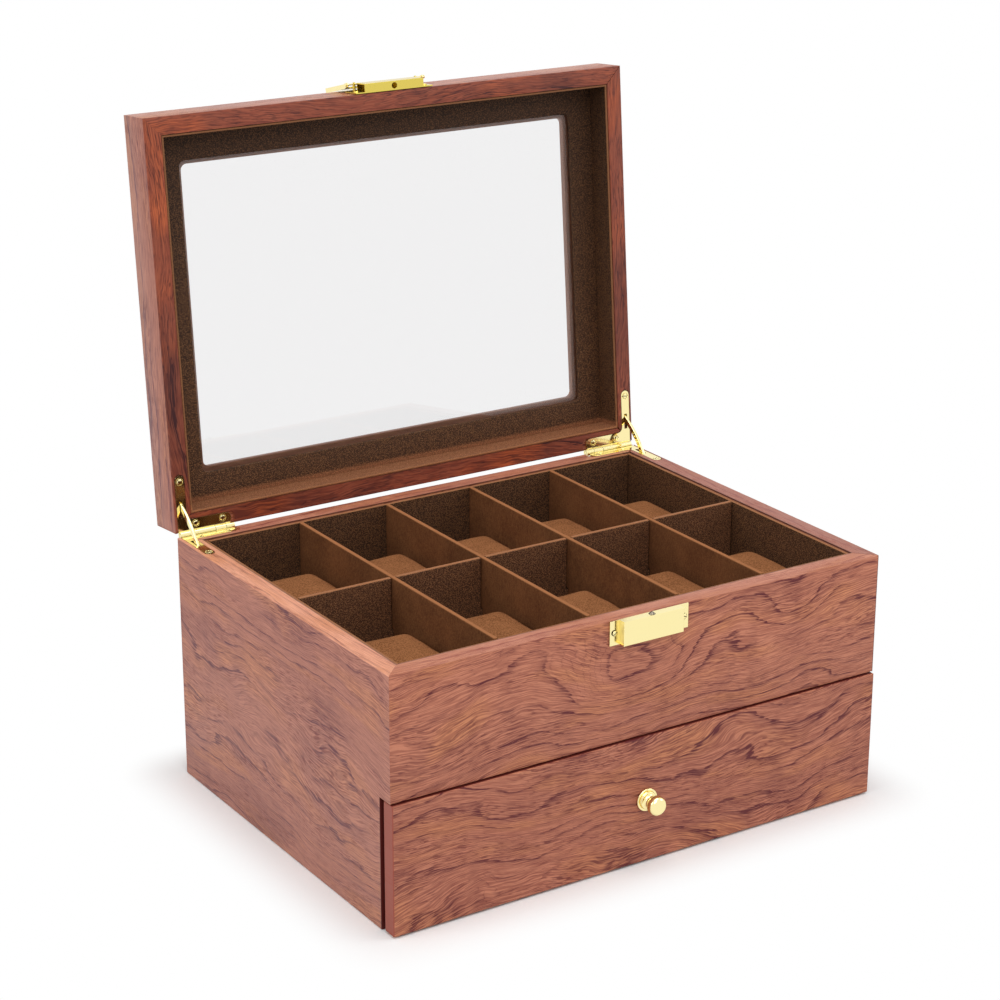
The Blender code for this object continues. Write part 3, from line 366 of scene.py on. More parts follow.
def rosewood(finish, along, across, seed, kind, figure=1.0, swirls=(), contrast=1.0, clouds=0.10):
    """Figured veneer: wavy growth lines that fade on one side, fine fibres and short pores.
    Gives its colour and how much of each place is pore."""

    def grain(length, over, width, offset, detail=2, rough=0.5):
        """Noise with its own scale along the wood's grain and over it."""
        point = finish.point(along * length, over * width, seed + offset)
        return finish.noise(point, 1.0, detail, rough)

    drift = grain(6, across, 13, 0, 1)
    curl = grain(24, across, 42, 7)
    ruffle = grain(70, across, 90, 9, 1)
    field = across + (drift - 0.5) * 0.058 * figure + (curl - 0.5) * 0.009 * figure
    field = field + (ruffle - 0.5) * 0.0011
    bulge = grain(19, across, 27, 15, 1.5)
    growth = field + (bulge - 0.5) * 0.030 * figure
    for place, reach, height in swirls:
        side = (along - place[0]) / reach[0]
        up = (across - place[1]) / reach[1]
        swirl = height / (1 + (side * side + up * up) ** 1.5)
        field = field + swirl * 0.3
        growth = growth + swirl
    streak = grain(62, field, 2000, 0, rough=0.6)
    fibre = finish.step(streak, 0.40, 0.58)
    thread = grain(11, field, 400, 23)
    line = 1 - finish.step(abs(thread - 0.5), 0.002, 0.019)
    tear = grain(110, field, 900, 21)
    wander = grain(12, field, 60, 3)
    rings = growth / sizes().ring_spacing + wander * 1.6 + tear * 0.42
    saw = rings.fraction()
    near = (rings * 2.6 + 0.3).fraction()
    patches = grain(8, growth, 48, 11)
    strong = finish.step(patches, 0.42, 0.58)
    fading = finish.step(saw, 0.30, 0.97) ** 2
    edge = finish.step(saw, 0.80, 0.92) * (1 - finish.step(saw, 0.97, 1.0))
    weak = finish.step(near, 0.80, 0.97) * (1 - strong * 0.7)
    dash = grain(150, field, 2200, 5, 1)
    crowd = grain(16, field, 75, 29, 1)
    pore = finish.step(dash, 0.54, 0.61) * (0.30 + finish.step(crowd, 0.40, 0.62) * 0.70)
    amber = grain(20, field, 60, 2)
    haze = grain(15, across, 26, 12, 3)
    amber = finish.step(amber, 0.46, 0.68)
    tone = finish.blend(amber, tint(kind + "_light"), tint(kind + "_amber"))
    tone = finish.blend(fibre * 0.58 * contrast, tone, tint(kind + "_dark"))
    ripple = grain(60, across, 13, 19, 1)
    cloudy = finish.step(haze, 0.50, 0.74) * (clouds + fibre * 0.28)
    cloudy = cloudy + finish.step(ripple, 0.5, 0.75) * 0.10
    shade = (fading * 0.36 + edge * 0.62) * strong + weak * 0.34 + line * 0.34
    shade = (shade * (0.46 + fibre * 0.74) + cloudy) * contrast
    tone = finish.blend(shade, tone, tint(kind + "_vein"))
    tone = finish.blend(pore * 0.62 * contrast, tone, tint(kind + "_vein"))
    return tone, pore


def satin(finish, tone, pore, gloss=0.42):
    """Satin lacquer over wood, duller in the pores."""
    finish.shader.inputs["Specular IOR Level"].default_value = 0.28
    finish.set("Base Color", tone)
    finish.set("Roughness", gloss + pore * 0.18)
    finish.bump(1 - pore, 0.00008, 0.4)
    return finish.material


def below(finish, value, limit):
    """1 where a coordinate is below a limit, and 0 above it."""
    return 1 - finish.step(value, limit - SHARP, limit + SHARP)


def edged(finish, rim, face, strip, gloss=0.42):
    """A panel whose face and rim are cut from different wood."""
    pore = face[1] * (1 - rim) + strip[1] * rim
    return satin(finish, finish.blend(rim, face[0], strip[0]), pore, gloss)


def panel_finish(name, lengthwise, seed, kind="case", rim_shade=0.0, swirls=(), gap_shade=None):
    """Veneer of one of the case's upright panels, whose rim is a strip of plainer wood."""
    finish = Finish(name)
    x, y, z = finish.split(finish.here())
    along, out = (y, x) if lengthwise == "Y" else (x, y)
    clouds, contrast = (0.26, 0.82) if kind == "side" else (0.10, 1.0)
    face = rosewood(finish, along, z + out, seed, kind, 1.0, swirls, contrast, clouds)
    contrast = 0.85 if rim_shade else 0.5
    strip = rosewood(finish, along, out * 1.3 + z, seed + 31, "rim", 0.4, contrast=contrast)
    # A shadow line runs along the rim where the lining meets it
    depth = half_width - abs(x) if lengthwise == "Y" else half_depth - abs(y)
    seam = finish.step(depth, wall - 0.0005, wall - 0.0003)
    # Painted shade: the rim strip is darkened by a share given for each panel
    shaded = finish.blend(rim_shade, strip[0], tint("rim_vein"))
    strip = (finish.blend(seam * 0.8, shaded, tint("seam")), strip[1])
    # Painted shade on the faces that stand in the gaps round the drawer
    if gap_shade:
        face = (finish.blend(gap_shade(finish, y, z), face[0], tint("gap_shade")), face[1])
    rim = finish.step(z, case_top - RIM_END, case_top - RIM_START)
    return edged(finish, rim, face, strip)


def rail_finish(name, lengthwise, seed, kind):
    """Veneer of one of the lid's rails: the outside as the case's, the rim dark red and figured."""
    finish = Finish(name)
    x, y, z = finish.split(finish.here(LID_OPENED.inverted()))
    along, out = (y, x) if lengthwise == "Y" else (x, y)
    face = rosewood(finish, along, z + out, seed, kind, 0.6)
    strip = rosewood(finish, along, out * 0.8 + z, seed + 17, "lid", 0.6, clouds=0.38)
    rim = 1 - finish.step(z, rim_low + RIM_START, rim_low + RIM_END)
    return edged(finish, rim, face, strip, 0.36)


def board_finish(name, seed, lid=False, lengthwise="X"):
    """Veneer of a flat board: the lid's top, or the plain boards inside."""
    finish = Finish(name)
    x, y, z = finish.split(finish.here(LID_OPENED.inverted() if lid else None))
    along, out = (y, x) if lengthwise == "Y" else (x, y)
    tone, pore = rosewood(finish, along, z + out, seed, "case", 0.8)
    if lid:
        top = max((LID_OPENED.inverted() @ corner).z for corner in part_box("lid_top_frame"))
        tone = finish.blend(below(finish, z, top - 0.0003), tone, tint("reveal"))
    return satin(finish, tone, pore, 0.38 if lid else 0.55)


def edge_highlight(finish, tone, z, top, amount):
    """A painted highlight along the upper edge of a covered board."""
    edge = finish.step(z, top - 0.0004, top - 0.00008)
    return finish.blend(edge * amount, tone, tint("edge_highlight_colour"))


def leatherette(name="leatherette", top=None, tip="leather_tip", deep="leather_deep", lid=False):
    """Fine pebbled leatherette: paler tips and dark creases between them."""
    finish = Finish(name, Specular_IOR_Level=0.22)
    point = finish.here()
    x, y, z = finish.split(point)
    warp = finish.noise(point, 900, 1)
    bent = finish.point(x * 0.62 + warp * 0.0004, y * 0.62 - warp * 0.0004, z + warp * 0.0005)
    crease = finish.cells(bent, 2400)
    fine = finish.noise(bent, 2600, 2, 0.6)
    cloud = finish.noise(point, 40, 2)
    height = 1 - finish.step(crease, 0.22, 0.54)
    tips = height * (0.7 + fine * 0.6)
    raised = tint(tip)
    if lid:
        # Painted light: paler on the strip at the hinge side, where more light falls
        back, low = finish.split(finish.here(LID_OPENED.inverted()))[1:]
        near = finish.step(back, half_depth - 0.0135, half_depth - 0.0115)
        raised = finish.blend(near, raised, tint("ledge_light"))
    tone = finish.blend(tips * (0.72 + cloud * 0.3), tint(deep), raised)
    if lid:
        # Darker towards the lid's front, which stands uppermost and gets the least light
        ahead = finish.step(back, -half_depth, half_depth)
        lit = finish.blend(ahead, (0.56, 0.56, 0.56, 1), (1, 1, 1, 1))
        # More painted light on the strip at the hinge side
        tone = finish.blend(near * 0.35, tone, tint("ledge_light"))
        tone = finish.blend(1.0, tone, lit, "MULTIPLY")
        # Painted highlight on the leatherette's fold along the lid's rim
        fold_highlight = below(finish, low, rim_low + 0.0008)
        tone = finish.blend(fold_highlight * 0.5, tone, tint("edge_highlight_colour"))
    # A painted highlight along the lining's upper edge
    if top:
        tone = edge_highlight(finish, tone, z, top, 0.8)
    finish.set("Base Color", tone)
    finish.set("Roughness", 0.68 - tips * 0.14)
    finish.bump(height, 0.00013, 0.6)
    return finish.material


def suede(name, pale, deep, speckle, top=None):
    """Brushed suede: soft clouds, fibres and fine speckle."""
    finish = Finish(name, Specular_IOR_Level=0.08)
    point = finish.here()
    x, y, z = finish.split(point)
    cloud = finish.noise(point, 60, 3, 0.6)
    nap = finish.noise(finish.point(x * 1300, y * 1300, z * 500), 1, 3, 0.65)
    grain = finish.noise(point, 1500, 2, 0.65)
    fleck = finish.step(grain, 0.41, 0.60)
    mixed = cloud * 0.4 + nap * (0.6 - speckle * 0.25) + fleck * speckle * 0.4
    tone = finish.blend(finish.step(mixed, 0.28, 0.74), tint(deep), tint(pale))
    # A painted highlight along the divider's upper edge
    if top:
        tone = edge_highlight(finish, tone, z, top, 0.85)
    finish.set("Base Color", tone)
    finish.set("Roughness", 0.90 + fleck * 0.08)
    finish.bump(nap * 0.5 + grain * 0.5, 0.00022, 0.7)
    return finish.material


def metal(name, tone, rough):
    """Polished metal with faint handling marks and fine scratches."""
    wear = 0.05
    finish = Finish(name, tint(tone), Metallic=1.0)
    point = finish.here()
    x, y, z = finish.split(point)
    marks = finish.noise(point, 160, 3, 0.6)
    scratch = finish.noise(finish.point(x * 500, y * 9000, z * 2600), 1, 2, 0.6)
    finish.set("Roughness", rough + finish.step(marks, 0.45, 0.75) * wear + scratch * wear * 0.4)
    finish.bump(scratch, 0.000006, 0.3)
    return finish.material


def clear_glass():
    """Clear glass with faint smears."""
    finish = Finish(
        "clear_glass", (0.87, 0.865, 0.868, 1.0), 0.02, Transmission_Weight=1.0, IOR=1.45
    )
    smear = finish.noise(finish.here(), 22, 3, 0.6)
    finish.set("Roughness", finish.step(smear, 0.55, 0.8) * 0.03)
    return finish.material


def felt():
    """Short matted fibres."""
    finish = Finish("base_felt", tint("felt"), 1.0, Sheen_Weight=0.4)
    fibres = finish.noise(finish.here(), 900, 4, 0.7)
    dark = tuple(value * 0.5 for value in tint("felt")[:3]) + (1.0,)
    finish.set("Base Color", finish.blend(fibres, dark, tint("felt")))
    finish.bump(fibres, 0.0003, 0.7)
    return finish.material


# Modelling helpers


def pick(*objects):
    """Selects only these objects, with the last one active."""
    if bpy.context.mode != "OBJECT":
        edit(False)
    bpy.ops.object.select_all(action="DESELECT")
    for obj in objects:
        obj.select_set(True)
    bpy.context.view_layer.objects.active = objects[-1]


def added(add, **settings):
    """What one of Blender's add operators makes, alone in the selection."""
    bpy.ops.object.select_all(action="DESELECT")
    add(**settings)
    return bpy.context.object


def edit(on):
    """Turns edit mode on or off for the active object."""
    bpy.ops.object.mode_set(mode="EDIT" if on else "OBJECT")


def paint(obj, material):
    obj.data.materials.clear()
    obj.data.materials.append(material)


def dress(material, *names):
    """Gives the solids' own objects a finish."""
    for name in names:
        for slot in nodes[name].material_slots:
            slot.material = material


def seat(piece, name, body, material, node):
    """Names a finished piece, paints it and sets it on its body in place of a solid."""
    piece.name = name
    piece.data.name = name
    if material:
        paint(piece, material)
    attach(piece, body)
    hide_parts(node)
    return piece


def settle(piece, matrix=None):
    """Applies a piece's place to its mesh, after one more move where a matrix is given."""
    if matrix:
        piece.matrix_world = matrix @ piece.matrix_world
    pick(piece)
    bpy.ops.object.transform_apply(location=True, rotation=True, scale=True)
    return piece


def apply_modifier(piece, kind, **settings):
    """Adds a modifier with these settings and applies it."""
    pick(piece)
    modifier = piece.modifiers.new(kind.title(), kind)
    for name, value in settings.items():
        setattr(modifier, name, value)
    bpy.ops.object.modifier_apply(modifier=modifier.name)


def round_edges(piece, width, segments, angle, **settings):
    """Rounds the edges that turn by more than an angle."""
    apply_modifier(
        piece, "BEVEL", width=width, segments=segments, limit_method="ANGLE",
        angle_limit=math.radians(angle), use_clamp_overlap=True, **settings,
    )


def combine(piece, tool, operation, **settings):
    """Adds a tool's shape to a piece or cuts it away, and deletes the tool."""
    apply_modifier(piece, "BOOLEAN", operation=operation, solver="EXACT", object=tool, **settings)
    bpy.data.objects.remove(tool)


def smooth(piece, angle):
    pick(piece)
    bpy.ops.object.shade_smooth_by_angle(angle=math.radians(angle))


def shell_of(node):
    """A merged copy of a solid's mesh."""
    pick(nodes[node])
    bpy.ops.object.duplicate()
    piece = bpy.context.object
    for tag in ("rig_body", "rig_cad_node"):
        del piece[tag]
    piece.parent = None
    pick(piece)
    bpy.ops.mesh.customdata_custom_splitnormals_clear()
    edit(True)
    bpy.ops.mesh.select_all(action="SELECT")
    bpy.ops.mesh.remove_doubles(threshold=WELD)
    bpy.ops.mesh.dissolve_limited(angle_limit=math.radians(0.6))
    edit(False)
    return piece


def softened(node, body, material, width, segments=2, angle=32):
    """A solid's copy with its edges rounded, in place of the solid."""
    piece = shell_of(node)
    round_edges(piece, width, segments, angle, miter_outer="MITER_SHARP")
    smooth(piece, 50)
    apply_modifier(piece, "WEIGHTED_NORMAL", keep_sharp=True, weight=60)
    return seat(piece, node + "_finished", body, material, node)


def mitred(node, along, veneer):
    """A panel or rail whose mitred ends are drawn out until they meet their neighbours."""
    body = "lid" if node.startswith("lid_") else "case"
    home = LID_OPENED if body == "lid" else Matrix.Identity(4)
    piece = shell_of(node)
    settle(piece, home.inverted())
    for sign in (-1, 1):
        for vert in piece.data.vertices:
            beside = (half_width - abs(vert.co.x)) - (half_depth - abs(vert.co.y))
            vert.select = vert.co[along] * sign > 0 and abs(abs(beside) - mitre_gap) < ON_MITRE
        move = Vector((0, 0, 0))
        move[along] = sign * mitre_gap * MITRE_DRAW
        edit(True)
        bpy.ops.mesh.select_mode(type="VERT")
        bpy.ops.transform.translate(value=move)
        bpy.ops.mesh.select_all(action="DESELECT")
        edit(False)
    settle(piece, home)
    smooth(piece, 30)
    return seat(piece, node + "_veneered", body, veneer, node)


def turned(profile, segments, place=(0, 0, 0), direction=(0, 0, 1)):
    """A turned piece, extruded ring by ring along a profile of radius and height."""
    piece = added(
        bpy.ops.mesh.primitive_circle_add,
        vertices=segments, radius=profile[0][0], fill_type="NGON", location=(0, 0, profile[0][1]),
    )
    settle(piece)
    edit(True)
    bpy.ops.mesh.select_all(action="SELECT")
    bpy.ops.mesh.flip_normals()
    for (radius, height), (wider, higher) in zip(profile, profile[1:]):
        bpy.ops.mesh.extrude_region_move(
            TRANSFORM_OT_translate={"value": (0, 0, higher - height)}
        )
        ratio = wider / radius
        bpy.ops.transform.resize(value=(ratio, ratio, 1), center_override=(0, 0, higher))
    bpy.ops.mesh.select_all(action="SELECT")
    bpy.ops.mesh.normals_make_consistent(inside=False)
    edit(False)
    lean = Vector((0, 0, 1)).rotation_difference(Vector(direction)).to_matrix().to_4x4()
    settle(piece, Matrix.Translation(Vector(place)) @ lean)
    smooth(piece, 40)
    return piece


def block(low, high):
    """A box between two corners."""
    low, high = Vector(low), Vector(high)
    piece = added(bpy.ops.mesh.primitive_cube_add, size=1, location=(low + high) / 2)
    piece.scale = high - low
    return settle(piece)


def closed_points(name):
    """The vertices of a solid of the lid as they lie when it is closed."""
    return [LID_OPENED.inverted() @ vert.co for vert in nodes[name].data.vertices]


def closed_box(name):
    """The box round a solid of the lid as it lies when it is closed."""
    points = closed_points(name)
    low = Vector(min(point[axis] for point in points) for axis in range(3))
    high = Vector(max(point[axis] for point in points) for axis in range(3))
    return low, high


def bow(centre, radius, start, end, steps):
    """Points on an arc, from one angle in degrees to another."""
    turns = [math.radians(start + (end - start) * step / steps) for step in range(steps + 1)]
    return [(centre[0] + radius * math.cos(t), centre[1] + radius * math.sin(t)) for t in turns]


def window_block(spread, low, high):
    """A block of the closed lid as large as the window, or larger by a spread on every side.
    The window is found from the lined frame's inner corners."""
    limit_x, limit_y = half_width - WINDOW_INSET, half_depth - WINDOW_INSET
    inner = [
        point for point in closed_points("lid_inner_frame")
        if abs(point.x) < limit_x and abs(point.y) < limit_y
    ]
    wide = max(abs(point.x) for point in inner) + spread
    deep = max(abs(point.y) for point in inner) + spread
    return block((-wide, -deep, low), (wide, deep, high))


def cut_window(piece, step, low, high):
    """Cuts the lid's window, widened by a step, through a piece of the closed lid."""
    tool = window_block(step, low - OVERCUT, high + OVERCUT)
    pick(tool)
    edit(True)
    bpy.ops.mesh.select_mode(type="EDGE")
    bpy.ops.mesh.select_all(action="DESELECT")
    edit(False)
    for edge in tool.data.edges:
        # The upright edges
        first, second = (tool.data.vertices[number].co for number in edge.vertices)
        edge.select = abs(first.z - second.z) > 0.001
    edit(True)
    bpy.ops.mesh.bevel(offset=sizes().window_corner, segments=8, profile=0.5)
    edit(False)
    combine(piece, tool, "DIFFERENCE")


def slotted_head(radius, rise, slot, depth, turn, metal, shade):
    """A domed screw head at the origin, facing +Z, with painted shade in its driver's slot and on a
    rim round it.
    """
    profile = [(radius, -depth), (radius, rise * 0.25), (radius * 0.93, rise * 0.55)]
    profile += [(radius * 0.72, rise * 0.85), (radius * 0.40, rise), (radius * 0.05, rise * 1.02)]
    head = turned(profile, 32)
    tool = block((-radius * 1.3, -slot / 2, -depth * 0.45), (radius * 1.3, slot / 2, rise + depth))
    settle(tool, Matrix.Rotation(math.radians(turn), 4, "Z"))
    paint(head, metal)
    paint(tool, shade)
    combine(head, tool, "DIFFERENCE", material_mode="TRANSFER")
    smooth(head, 30)
    wide = radius * HEAD_RIM
    ring = [(wide, -depth), (wide, 0.00002), (radius * 0.9, 0.00003)]
    rim = turned(ring, 32)
    paint(rim, shade)
    return joined([rim, head])


def joined(pieces):
    """Joins pieces into the last one."""
    pick(*pieces)
    bpy.ops.object.join()
    return bpy.context.object


# Operators


class WATCHBOX_OT_stage(bpy.types.Operator):
    """Sets the floor, the soft studio lights and the camera"""

    bl_idname = "watchbox.stage"
    bl_label = "Stage"

    def execute(self, context):
        scene = context.scene
        scene.view_settings.view_transform = "Standard"
        self.add_floor()
        self.add_world(scene)
        for name, place, size, power in (
            ("key", (-0.9, -2.1, 2.3), 1.8, 24),
            ("left", (-2.3, 0.2, 1.5), 1.6, 17),
            ("top", (0.1, -0.35, 2.6), 2.0, 22),
            ("right", (2.0, -1.2, 1.3), 1.2, 7),
        ):
            self.add_light(name, Vector(place), size, power)
        self.add_camera(scene)
        return {"FINISHED"}

    def add_floor(self):
        """A pale floor that is seen as white a little way from the box."""
        floor = added(
            bpy.ops.mesh.primitive_circle_add,
            vertices=96, radius=6.5, fill_type="NGON", location=(0, 0, -0.0002),
        )
        floor.name = "floor"
        settle(floor)
        finish = Finish("pale_floor", (0.96, 0.96, 0.96, 1.0), 0.85, Specular_IOR_Level=0.1)
        x, y = finish.split(finish.here())[:2]
        side = (abs(x) - half_width).at_least(0)
        end = (abs(y) - half_depth).at_least(0)
        far = finish.step((side * side + end * end) ** 0.5, 0.0, 0.036)
        lit = Flow(finish, finish.shader.outputs[0])
        glow = finish.add("ShaderNodeEmission", None, {"Color": (1, 1, 1, 1), "Strength": 1.0})
        mixer = finish.add("ShaderNodeMixShader", None, [far * finish.seen(), lit, glow])
        finish.feed(finish.nodes["Material Output"].inputs["Surface"], mixer)
        paint(floor, finish.material)

    def add_world(self, scene):
        """Faint light from all round, seen as white behind the box and in its brass."""
        scene.world = bpy.data.worlds.new("studio")
        tree = Tree(scene.world)
        tree.nodes.remove(tree.nodes["Background"])
        faint, white = (
            tree.add("ShaderNodeBackground", None, {"Color": (1, 1, 1, 1), "Strength": strength})
            for strength in (0.42, 1.0)
        )
        mixer = tree.add("ShaderNodeMixShader", None, [tree.seen(), faint, white])
        tree.feed(tree.nodes["World Output"].inputs["Surface"], mixer)

    def add_light(self, name, place, size, power):
        light = added(bpy.ops.object.light_add, type="AREA", location=place)
        light.name = "light_" + name
        light.data.shape = "DISK"
        light.data.size = size
        light.data.energy = power
        aim = Vector((0, 0, 0.12)) - place
        light.rotation_euler = aim.to_track_quat("-Z", "Y").to_euler()

    def add_camera(self, scene):
        """The camera where the photograph was taken from, found from the box's corners."""
        azimuth, height, roll = -0.58683905, 0.33991224, 0.00714236
        level = math.cos(height)
        forward = Vector(
            (-math.sin(azimuth) * level, math.cos(azimuth) * level, -math.sin(height))
        )
        right = Vector((math.cos(azimuth), math.sin(azimuth), 0))
        up = right.cross(forward)
        turn = Matrix((right, up, -forward)).transposed() @ Matrix.Rotation(roll, 3, "Z")
        camera = added(bpy.ops.object.camera_add, location=(-0.6659013, -1.0042399, 0.5773381))
        camera.name = "camera"
        camera.rotation_euler = turn.to_euler()
        camera.data.sensor_width = 36
        camera.data.lens = 93.3209
        camera.data.shift_x = -0.029426
        camera.data.shift_y = 0.003985
        camera.data.clip_start = 0.05
        scene.camera = camera


class WATCHBOX_OT_case_wood(bpy.types.Operator):
    """Veneers the case's panels and finishes its inner boards"""

    bl_idname = "watchbox.case_wood"
    bl_label = "Case wood"

    def execute(self, context):
        # The figure's knots, as place along and up the front, reach along and up, and depth
        knots = (
            ((-0.006, 0.100 - half_depth), (0.033, 0.019), 0.034),
            ((0.088, 0.112 - half_depth), (0.022, 0.014), 0.020),
        )
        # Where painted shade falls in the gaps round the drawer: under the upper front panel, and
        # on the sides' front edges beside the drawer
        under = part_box("upper_front_panel")[0].z + 0.00007
        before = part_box("bottom_board")[0].y + 0.0002
        front = panel_finish(
            "front_veneer", "X", 3.0, rim_shade=0.36, swirls=knots,
            gap_shade=lambda finish, y, z: below(finish, z, under),
        )
        mitred("upper_front_panel", 0, front)
        back = panel_finish("back_veneer", "X", 14.0, rim_shade=0.3)
        mitred("back_panel", 0, back)
        for side, seed, rim_shade in (("left", 27.0, 0.0), ("right", 41.0, 0.64)):
            veneer = panel_finish(
                f"{side}_veneer", "Y", seed, "side", rim_shade,
                gap_shade=lambda finish, y, z: below(finish, y, before) * below(finish, z, under),
            )
            mitred(f"{side}_side_panel", 1, veneer)
        dress(board_finish("inner_board", 55.0), "tray_floor", "bottom_board")
        dress(felt(), "base_felt")
        return {"FINISHED"}


class WATCHBOX_OT_lid_wood(bpy.types.Operator):
    """Veneers the lid's rails and top"""

    bl_idname = "watchbox.lid_wood"
    bl_label = "Lid wood"

    def execute(self, context):
        for side, along, seed, kind in (
            ("front", 0, 61.0, "case"),
            ("back", 0, 73.0, "case"),
            ("left", 1, 82.0, "side"),
            ("right", 1, 97.0, "side"),
        ):
            veneer = rail_finish(f"lid_{side}_veneer", "XY"[along], seed, kind)
            mitred(f"lid_{side}_rail", along, veneer)
        self.add_top(board_finish("lid_top_veneer", 105.0, True))
        return {"FINISHED"}

    def add_top(self, veneer):
        """The lid's board, with a ledge round the glass that narrows the lined window."""
        low, high = closed_box("lid_top_frame")
        pane = closed_box("glass_pane")[1].z + 0.0001
        ledge = window_block(0.0002, pane, high.z)
        cut_window(ledge, -sizes().board_step, low.z, high.z)
        settle(ledge, LID_OPENED)
        board = shell_of("lid_top_frame")
        combine(board, ledge, "UNION")
        round_edges(board, sizes().board_edge * 0.5, 2, 50)
        smooth(board, 40)
        seat(board, "lid_top_board", "lid", veneer, "lid_top_frame")


class WATCHBOX_OT_drawer(bpy.types.Operator):
    """Veneers the drawer's front and finishes its box and lining"""

    bl_idname = "watchbox.drawer"
    bl_label = "Drawer"

    def execute(self, context):
        finish = Finish("drawer_veneer")
        x, y, z = finish.split(finish.here())
        low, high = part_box("drawer_front")
        tone, pore = rosewood(finish, x, z, 9.0, "case", contrast=1.15)
        ends = finish.step(abs(x), high.x - 0.0005, high.x - 0.0002)
        # Darker all over by a little of the painted gap shade's colour
        tone = finish.blend(0.09, tone, tint("gap_shade"))
        tone = finish.blend(ends, tone, tint("drawer_end"))
        # Painted shade on the front's top and back faces, in the gaps round the drawer
        shaded_gap_faces = 1 - below(finish, z, high.z - 0.0001) * below(finish, y, high.y - 0.0001)
        shaded_gap_faces = shaded_gap_faces * (1 - below(finish, y, low.y + 0.0006))
        tone = finish.blend(shaded_gap_faces, tone, tint("gap_shade"))
        dress(satin(finish, tone, pore), "drawer_front")
        dress(board_finish("drawer_board", 120.0), "drawer_back", "drawer_bottom")
        side_wood = board_finish("drawer_side_wood", 133.0, lengthwise="Y")
        dress(side_wood, "drawer_left_side", "drawer_right_side")
        softened(
            "drawer_lining", "drawer", leatherette("drawer_leatherette"),
            sizes().board_edge * 0.5,
        )
        return {"FINISHED"}


class WATCHBOX_OT_linings(bpy.types.Operator):
    """Covers the tray's walls and floor and the lid's inside with leatherette"""

    bl_idname = "watchbox.linings"
    bl_label = "Linings"

    def execute(self, context):
        cover = leatherette(top=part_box("left_wall_lining")[1].z)
        for side in ("left", "right", "back", "front"):
            softened(f"{side}_wall_lining", "case", cover, sizes().board_edge * 0.7)
        softened("tray_floor_lining", "case", cover, sizes().board_edge * 0.5)
        cover = leatherette("lid_leatherette", lid=True)
        self.add_window_frame(cover)
        softened("lid_wall_lining", "lid", cover, sizes().board_edge * 0.4)
        return {"FINISHED"}

    def add_window_frame(self, cover):
        """The board that holds the glass, its leatherette turned over the window's edge."""
        size = sizes()
        low, high = closed_box("lid_inner_frame")
        piece = block(low, high)
        cut_window(piece, size.frame_step, low.z, high.z)
        round_edges(piece, size.window_roll, 4, 50)
        settle(piece, LID_OPENED)
        smooth(piece, 50)
        seat(piece, "lid_inner_frame_covered", "lid", cover, "lid_inner_frame")


class WATCHBOX_OT_dividers(bpy.types.Operator):
    """Covers the half-lapped dividers"""

    bl_idname = "watchbox.dividers"
    bl_label = "Dividers"

    def execute(self, context):
        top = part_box("cross_divider")[1].z
        cloth = suede("divider_suede", "suede_pale", "suede_deep", 0.35, top)
        for number in range(1, 5):
            softened(f"long_divider_{number}", "case", cloth, sizes().divider_edge, 3)
        # The cross divider's leatherette is a lighter copy, painted light
        pebbled = leatherette("lit_divider_leatherette", top, "divider_lit_tip", "divider_lit_deep")
        softened("cross_divider", "case", pebbled, sizes().divider_edge, 3)
        return {"FINISHED"}


